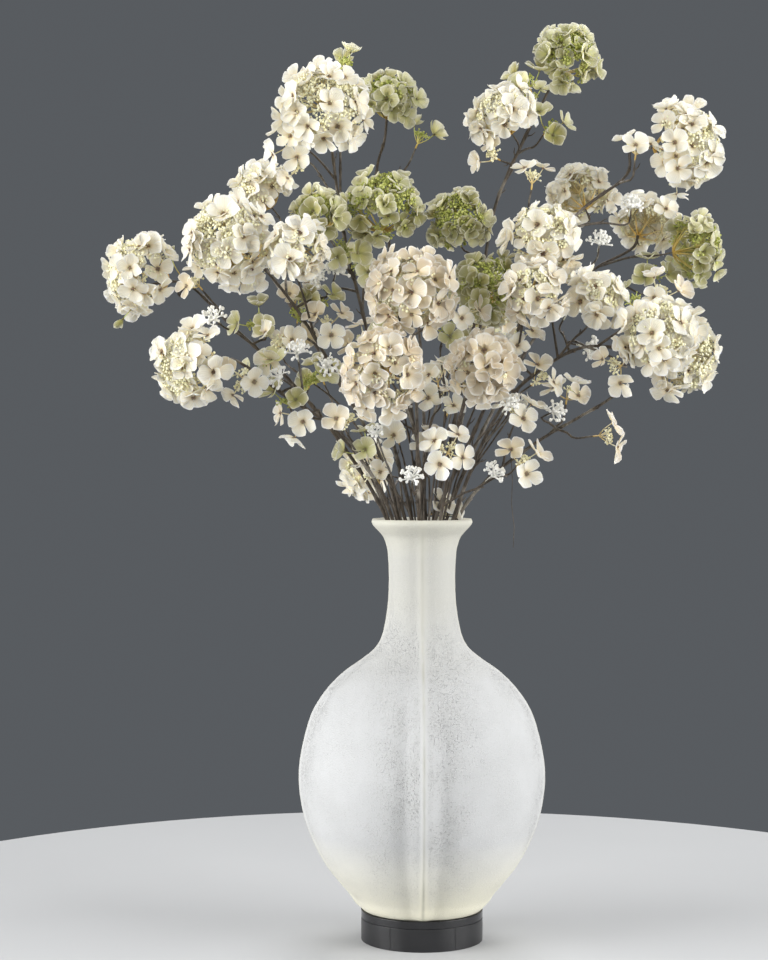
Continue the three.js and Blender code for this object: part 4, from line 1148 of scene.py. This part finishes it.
class FlowerHead:
    # a head starts at its joint on the twig and has a dome of florets and buds round its middle
    def __init__(self, thing, seed, s):
        self.s, self.radius = s, thing["radius"]
        self.random, self.more = randomFrom(seed), randomFrom(seed + 5000)
        self.facing, self.joint = jointOf(thing)
        self.middle = self.joint + self.facing * bloomDepth * self.radius
        self.green, self.full = thing["name"].startswith("green"), thing["name"] in s["full"]
        self.white = whiteAndLitShare(thing, s)
        self.phase = self.random() * math.tau
        self.guide, self.seats, self.forks = Guide(), [], []

    def ofKind(self, full, green, cream):
        # the setting that this kind of head takes
        return self.s[full if self.full else green if self.green else cream]

    def seatFloret(self, local, random, depth, tilt, sizes):
        s, way = self.s, turnTo(self.facing, local)
        centre = self.middle + way * self.radius * vary(random, *s[depth])
        outward = shaken(way, random, s[tilt])
        scale = s["greenSize" if self.green else "creamSize"] * vary(random, *s[sizes])
        self.seats.append((centre, outward, scale, random() * s["spin"]))

    def seatFlorets(self):
        s, random, more = self.s, self.random, self.more
        count = int(self.radius / s["radiusPerFloret"] + 0.5)
        for local in capDirections(count, math.radians(s["widest"]), self.phase, random, s["jitter"]):
            self.seatFloret(local, random, "depth", "tilt", "sizes")
            skipDraws(random)
        # smaller florets between the large ones, a little further in; a few stand out loosely
        narrowest = 0 if self.full else math.radians(s["moreFrom"])
        density = self.ofKind("fullFlorets", "greenFlorets", "moreFlorets")
        extra = round(self.radius * (density + (0 if self.green else s["whiteFlorets"] * self.white)))
        for local in capDirections(extra, math.radians(s["moreTo"]), self.phase + 2.1, more, 0.4, narrowest):
            depth = "looseDepth" if more() < s["loose"] else "fullDepth" if self.full else "moreDepth"
            self.seatFloret(local, more, depth, "moreTilt", "moreSizes")

    def growRibs(self):
        # golden ribs leave the joint like an umbrella's
        s, more, joint, radius = self.s, self.more, self.joint, self.radius
        ribs = s["greenRibs" if self.green else "ribs"]
        for k in range(ribs + 1):
            polar = math.radians(vary(more, *s["ribOpen"])) if k < ribs else 0.1
            out = turnTo(self.facing, wayOf(polar, self.phase + k * math.tau / ribs + 0.4 * more()))
            end = joint + out * radius * vary(more, *s["ribReach"])
            knee = joint + (out * 0.45 - self.facing * 0.10 * math.sin(polar)) * radius * 0.62
            path = Path([joint, knee, end]).spaced(radius * 0.13)
            last = len(path) - 1
            widths = [s["ribRadius"] * (1.2 - 0.65 * i / last) for i in range(last + 1)]
            self.guide.stalk(path, widths, (0.0, 0.4))
            self.forks += [path[round(last * share)] for share in s["forksAt"]]

    def stalkTo(self, target, thickness, tip):
        # every stalk leaves the nearest fork of a rib
        root = min(self.forks, key=lambda fork: (fork - target).length + 0.35 * (fork - self.joint).length)
        bow = root.lerp(target, 0.5) + (target - self.middle).normalized() * (target - root).length * 0.07
        self.guide.stalk([root, bow, target], [thickness * 1.3, thickness, thickness * 0.9], (0.3, tip))

    def growFlorets(self):
        more, white = self.more, self.white
        for centre, outward, scale, spin in self.seats:
            kind, tint = int(more() * floret["variants"]), more()
            # green florets differ much from each other; cream ones by the place of their head, partly painted
            # light and shade
            tint = 1.05 * tint - 0.65 + 0.75 * white if self.green else 0.34 * tint + 0.66 * white
            self.guide.add(centre, floret=scale, turn=facingTurn(outward, spin), tint=tint, variant=kind)
            self.stalkTo(centre - outward * scale * 0.16, self.s["pedicelRadius"] * 1.3, 0.9)

    def growBuds(self):
        # a dome of bud clusters in the middle, and thinner ones between the florets round it
        s, more, radius, phase = self.s, self.more, self.radius, self.phase
        dome, skirt = math.radians(s["domeTo"]), math.radians(s["skirtTo"])
        count = round(radius * self.ofKind("fullDome", "greenDome", "domeClusters"))
        rise = s["domeRise"] + (s["fullRise"] if self.full else 0)
        clusters = [(way, rise, s["budsInDome"]) for way in capDirections(count, dome, phase, more, 0.2)]
        around = capDirections(round(radius * s["skirtClusters"]), skirt, phase + 0.7, more, 0.25, dome)
        clusters += [(way, s["skirtRise"], s["budsInSkirt"]) for way in around]
        size, length = s["greenBud" if self.green else "creamBud"], radius * s["clusterReach"]
        for local, height, count in clusters:
            way = turnTo(self.facing, local)
            root = self.middle + way * radius * (height + s["riseSpread"] * more())
            self.stalkTo(root, s["branchRadius"], 0.6)
            budCluster(self.guide, root, way, length, size, count, more, s["pedicelRadius"])


def makeBloom(thing, seed, s):
    bloomed = FlowerHead(thing, seed, s)
    bloomed.seatFlorets()
    bloomed.growRibs()
    bloomed.growFlorets()
    bloomed.growBuds()
    slotName = "green_petals" if bloomed.green else "cream_petals"
    return dressFlower(thing["name"], bloomed.guide, seed, bloomed.green, slotName, thing["name"])


def camel(name):
    words = name.split("_")
    return words[0] + "".join(word.capitalize() for word in words[1:])


def dressFlower(name, guide, seed, green, slotName, *nodes):
    kind = "green" if green else "cream"
    piece = growWithTree(camel(name), guide.mesh(), lacecap, {
        "Florets": floretGroups[kind], "Seed": seed, "Stalk Sides": 3, "Petal Finish": looks[kind + "Petal"],
        "Bud Finish": looks[kind + "Bud"], "Stalk Finish": looks["limeStalk" if green else "goldStalk"],
    })
    seat(piece, slotName, *nodes)
    return len(piece.data.polygons)


# Sprigs: a few florets on long curved pedicels; a pair is a least value and a spread
sprig = {
    "size": 18.0, "leafSize": 15, "sizes": (0.8, 0.25), "hub": 6, "open": 52, "pairOpen": 36,
    "reach": (20, 4), "spin": 1.6, "stalkRadius": 0.7, "bow": 2.5, "step": 5,
    # small clusters of buds round the hub
    "creamStalks": 6, "greenStalks": 7, "budReach": (7, 5), "clusterLength": 5.0, "budSize": 1.3,
    "budsOnStalk": 5, "pedicelRadius": 0.5,
}


def makeSprig(thing, seed, s):
    random, more = randomFrom(seed), randomFrom(seed + 5000)
    facing, joint = jointOf(thing)
    leaf, green = thing.get("leaf", False), thing.get("green", False)
    hub = joint + facing * s["hub"]
    polar = math.radians(s["open" if thing["florets"] > 2 else "pairOpen"])
    phase = random() * math.tau
    guide = Guide()
    guide.stalk([joint, joint + facing * 3, hub], [1.0, 1.2, 0.95], (0.0, 0.25))
    for i in range(thing["florets"]):
        way = turnTo(facing, wayOf(polar, phase + i / thing["florets"] * math.tau))
        centre = hub + way * vary(random, *s["reach"])
        outward = way.lerp(facing, 0.35).normalized()
        turn = facingTurn(outward, random() * s["spin"])
        skipDraws(random)
        kind = int(more() * floret["variants"])
        size = s["size"]
        if leaf:
            kind, size = floret["variants"], s["leafSize"]
        guide.add(centre, floret=size * vary(more, *s["sizes"]), turn=turn, tint=more(), variant=kind)
        bow = hub.lerp(centre, 0.5) - facing * s["bow"]
        path = Path([hub, bow, centre - outward * s["bow"]]).spaced(s["step"])
        guide.stalk(path, [s["stalkRadius"]] * len(path), (0.15, 0.8))
    for _ in range(0 if leaf else s["greenStalks" if green else "creamStalks"]):
        way = shaken(facing, more, 1.3)
        root = hub + way * vary(more, *s["budReach"])
        guide.stalk([hub, hub.lerp(root, 0.5) + facing * 0.6, root], [0.75, 0.6, 0.6], (0.3, 0.6))
        count, length = s["budsOnStalk"], s["clusterLength"]
        budCluster(guide, root, way, length, s["budSize"], count, more, s["pedicelRadius"])
    nodes = [] if thing["name"].startswith("filler") else [thing["name"]]
    slotName = "green_petals" if green or leaf else "blush_petals"
    return dressFlower(thing["name"], guide, seed, green or leaf, slotName, *nodes)


# Woody stems with twigs, bare spurs and swollen nodes
wood = {
    "nodeGap": 46, "firstNode": 12.0, "nextNode": 14.0, "swelling": 0.34, "clearOfRim": 478,
    "spurLength": 15, "spurRadius": 0.8, "spurTaper": (1, 0.75, 0.45),
}


def addSpurs(guide, path, radii, random, s):
    # swells the wood at each node and grows a short bare spur there, left and right in turn
    travelled, side = s["firstNode"] * random(), 1
    for i in range(1, len(path) - 2):
        travelled += (path[i] - path[i - 1]).length
        if travelled < s["nodeGap"] or path[i].z < s["clearOfRim"]:
            continue
        travelled = s["nextNode"] * random()
        side = -side
        radii[i] *= 1 + s["swelling"]
        along = (path[i + 1] - path[i - 1]).normalized()
        across = Vector((random() - 0.5, random() - 0.5, random() - 0.5)).normalized()
        across = along.cross(across).normalized() * side
        length = s["spurLength"] * (0.35 + 0.9 * random() ** 2)
        middle = path[i] + (across * 0.6 + along * 0.5) * length * 0.5
        end = middle + (across * 0.25 + along * 0.6) * length * 0.5
        guide.stalk([path[i], middle, end], [s["spurRadius"] * share for share in s["spurTaper"]])


spray = {
    "stem": 10, "stemRadius": 1.1, "arms": 12, "fewArms": 2, "open": 74, "armLength": (7, 4),
    "armRadius": 0.9, "endLength": (4.2, 3.0), "endRadius": 0.7, "bud": 1.8, "endShare": 1.6,
}


def makeBudSpray(guide, root, facing, count, random, s):
    # a coral-like spray: a stout pale stem, stubby forks and a small round bud on each end
    arms = s["arms" if count > 6 else "fewArms"]
    size = min(1.0, 0.55 + count / 50)
    foot = root - facing * s["stem"] * size
    radii = [s["stemRadius"] * share for share in (0.8, 1.0, 1.05)]
    guide.stalk([foot, foot.lerp(root, 0.5), root], radii, (0.0, 0.35))
    for local in capDirections(arms, math.radians(s["open"]), random() * math.tau, random, 0.4):
        way = turnTo(facing, local)
        fork = root + way * vary(random, *s["armLength"]) * size
        bend = root.lerp(fork, 0.5) + facing * 1.0
        guide.stalk([root, bend, fork], [s["armRadius"] * share for share in (1.1, 1.0, 0.9)], (0.3, 0.7))
        for _ in range(max(2, round(count / arms * s["endShare"]))):
            out = shaken(way, random, 2.0)
            end = fork + out * vary(random, *s["endLength"]) * size
            guide.stalk([fork, fork.lerp(end, 0.6) + way * 0.6, end], [s["endRadius"]] * 3, (0.6, 1.0))
            guide.add(end, bud=s["bud"], tint=random())


def growTwig(guide, path, thing, random):
    # leaves the stem at one of its path's points; gives its own tip
    root = path.at((thing["leaves"] + stem["mouthIndex"]) / (len(path.points) - 1))
    line = twigPath(root, thing).spaced(twig["step"])
    last = len(line) - 1
    thinner = twig["tipRadius"] - twig["rootRadius"]
    radii = [twig["rootRadius"] + thinner * i / last for i in range(last + 1)]
    addSpurs(guide, line, radii, random, wood)
    guide.stalk(line, radii)
    return line[-1]


def makeWood(name, branch, index, sizes):
    # a tapering stem with its twigs and, in pale, its bud sprays
    random = randomFrom(400 + index)
    guide, sprays = Guide(), Guide()
    path = stemPath(branch)
    points = path.spaced(stem["step"])
    last = len(points) - 1
    foot, tip = sizes["footRadius"], sizes["tipRadius"]
    radii = [foot + (tip - foot) * (i / last) ** 0.8 for i in range(last + 1)]
    addSpurs(guide, points, radii, random, wood)
    guide.stalk(points, radii)
    for thing in branch["carries"]:
        end = points[-1] if thing["leaves"] is None else growTwig(guide, path, thing, random)
        if "buds" in thing:
            makeBudSpray(sprays, end, jointOf(thing)[0], thing["buds"], random, spray)
    if name == fibre["hangsFrom"]:
        guide.stalk([Vector(p) for p in fibre["way"]], fibre["radii"])
    given = {"Florets": floretGroups["cream"], "Seed": index}
    bark = {**given, "Stalk Sides": sizes["sides"], "Stalk Finish": looks["bark"]}
    pale = {**given, "Stalk Sides": 4, "Bud Finish": looks["paleBud"], "Stalk Finish": looks["paleStalk"]}
    made = growWithTree(camel(name), guide.mesh(), lacecap, bark)
    if sprays.points:
        joinInto(made, growWithTree("spray", sprays.mesh(), lacecap, pale))
    seat(made, "bark", *([name] if sizes is stem else []))


def makeBranch(name, branch, index, sizes):
    makeWood(name, branch, index, sizes)
    faceTotal = 0
    for place, thing in enumerate(branch["carries"]):
        seed = 1000 + index * 20 + place
        if "radius" in thing:
            faceTotal += makeBloom(thing, seed, bloom)
        elif "florets" in thing:
            faceTotal += makeSprig(thing, seed, sprig)
    print("grown", name, "with", faceTotal, "faces of flowers")


def joinInto(piece, other):
    bpy.ops.object.select_all(action="DESELECT")
    for o in (piece, other):
        o.select_set(True)
    bpy.context.view_layer.objects.active = piece
    bpy.ops.object.join()


for index, (name, branch) in enumerate(branches.items()):
    makeBranch(name, branch, index, stem)
for index, (mouth, way, top) in enumerate(slenderStems, 1):
    branch = {"mouth": mouth, "way": way, "carries": [top]}
    makeBranch(f"slender_{index:02d}", branch, index + 19, slender)
print("slender stems grown:", len(slenderStems))
for group in floretGroups.values():
    for o in list(group.objects):
        bpy.data.objects.remove(o)
    bpy.data.collections.remove(group)

# Floor and soft studio light
studio = {
    "floorRadius": 0.8, "floorSides": 96, "floor": (0.535, 0.54, 0.545),
    "backdrop": (0.098, 0.106, 0.116), "backdropStrength": 1.0,
    # place, point looked at, size in metres, power in watts
    "lights": [
        ((-2.2, -0.85, 1.05), (0, 0, 0.65), 2.0, 89.0),
        ((2.2, -0.85, 1.05), (0, 0, 0.65), 2.0, 82.0),
        ((-0.3, -2.2, 1.1), (0, 0, 0.7), 1.4, 11.0),
        ((0.1, -0.1, 2.4), (0, 0, 0.7), 1.4, 8.0),
        ((0.3, 1.5, 2.1), (0, 0, 0.7), 1.2, 26.0),
    ],
}


def makeStudio(s):
    mesh = bpy.data.meshes.new("floor")
    turns = [k * math.tau / s["floorSides"] for k in range(s["floorSides"])]
    ring = [(s["floorRadius"] * math.cos(a), s["floorRadius"] * math.sin(a), 0) for a in turns]
    mesh.from_pydata(ring, [], [list(range(len(ring)))])
    floor = bpy.data.objects.new("floor", mesh)
    scene.collection.objects.link(floor)
    material, tree, shader = newMaterial("paleFloor", Roughness=0.6)
    low = tuple(c * 0.97 for c in s["floor"])
    tone = noise(objectCoordinates(tree), 3, 2)
    plug(ramp(tone, (0.3, low), (0.7, s["floor"])), shader["Base Color"])
    mesh.materials.append(material)
    world = bpy.data.worlds.new("studio")
    scene.world = world
    world.use_nodes = True
    backdrop = world.node_tree.nodes["Background"].inputs
    backdrop[0].default_value = (*s["backdrop"], 1)
    backdrop[1].default_value = s["backdropStrength"]
    for k, (place, target, size, power) in enumerate(s["lights"]):
        light = bpy.data.objects.new(f"softbox{k}", bpy.data.lights.new(f"softbox{k}", "AREA"))
        scene.collection.objects.link(light)
        light.location = place
        light.rotation_euler = (Vector(target) - Vector(place)).to_track_quat("-Z", "Y").to_euler()
        light.data.size = size
        light.data.energy = power
    scene.view_settings.view_transform = "Standard"


makeStudio(studio)
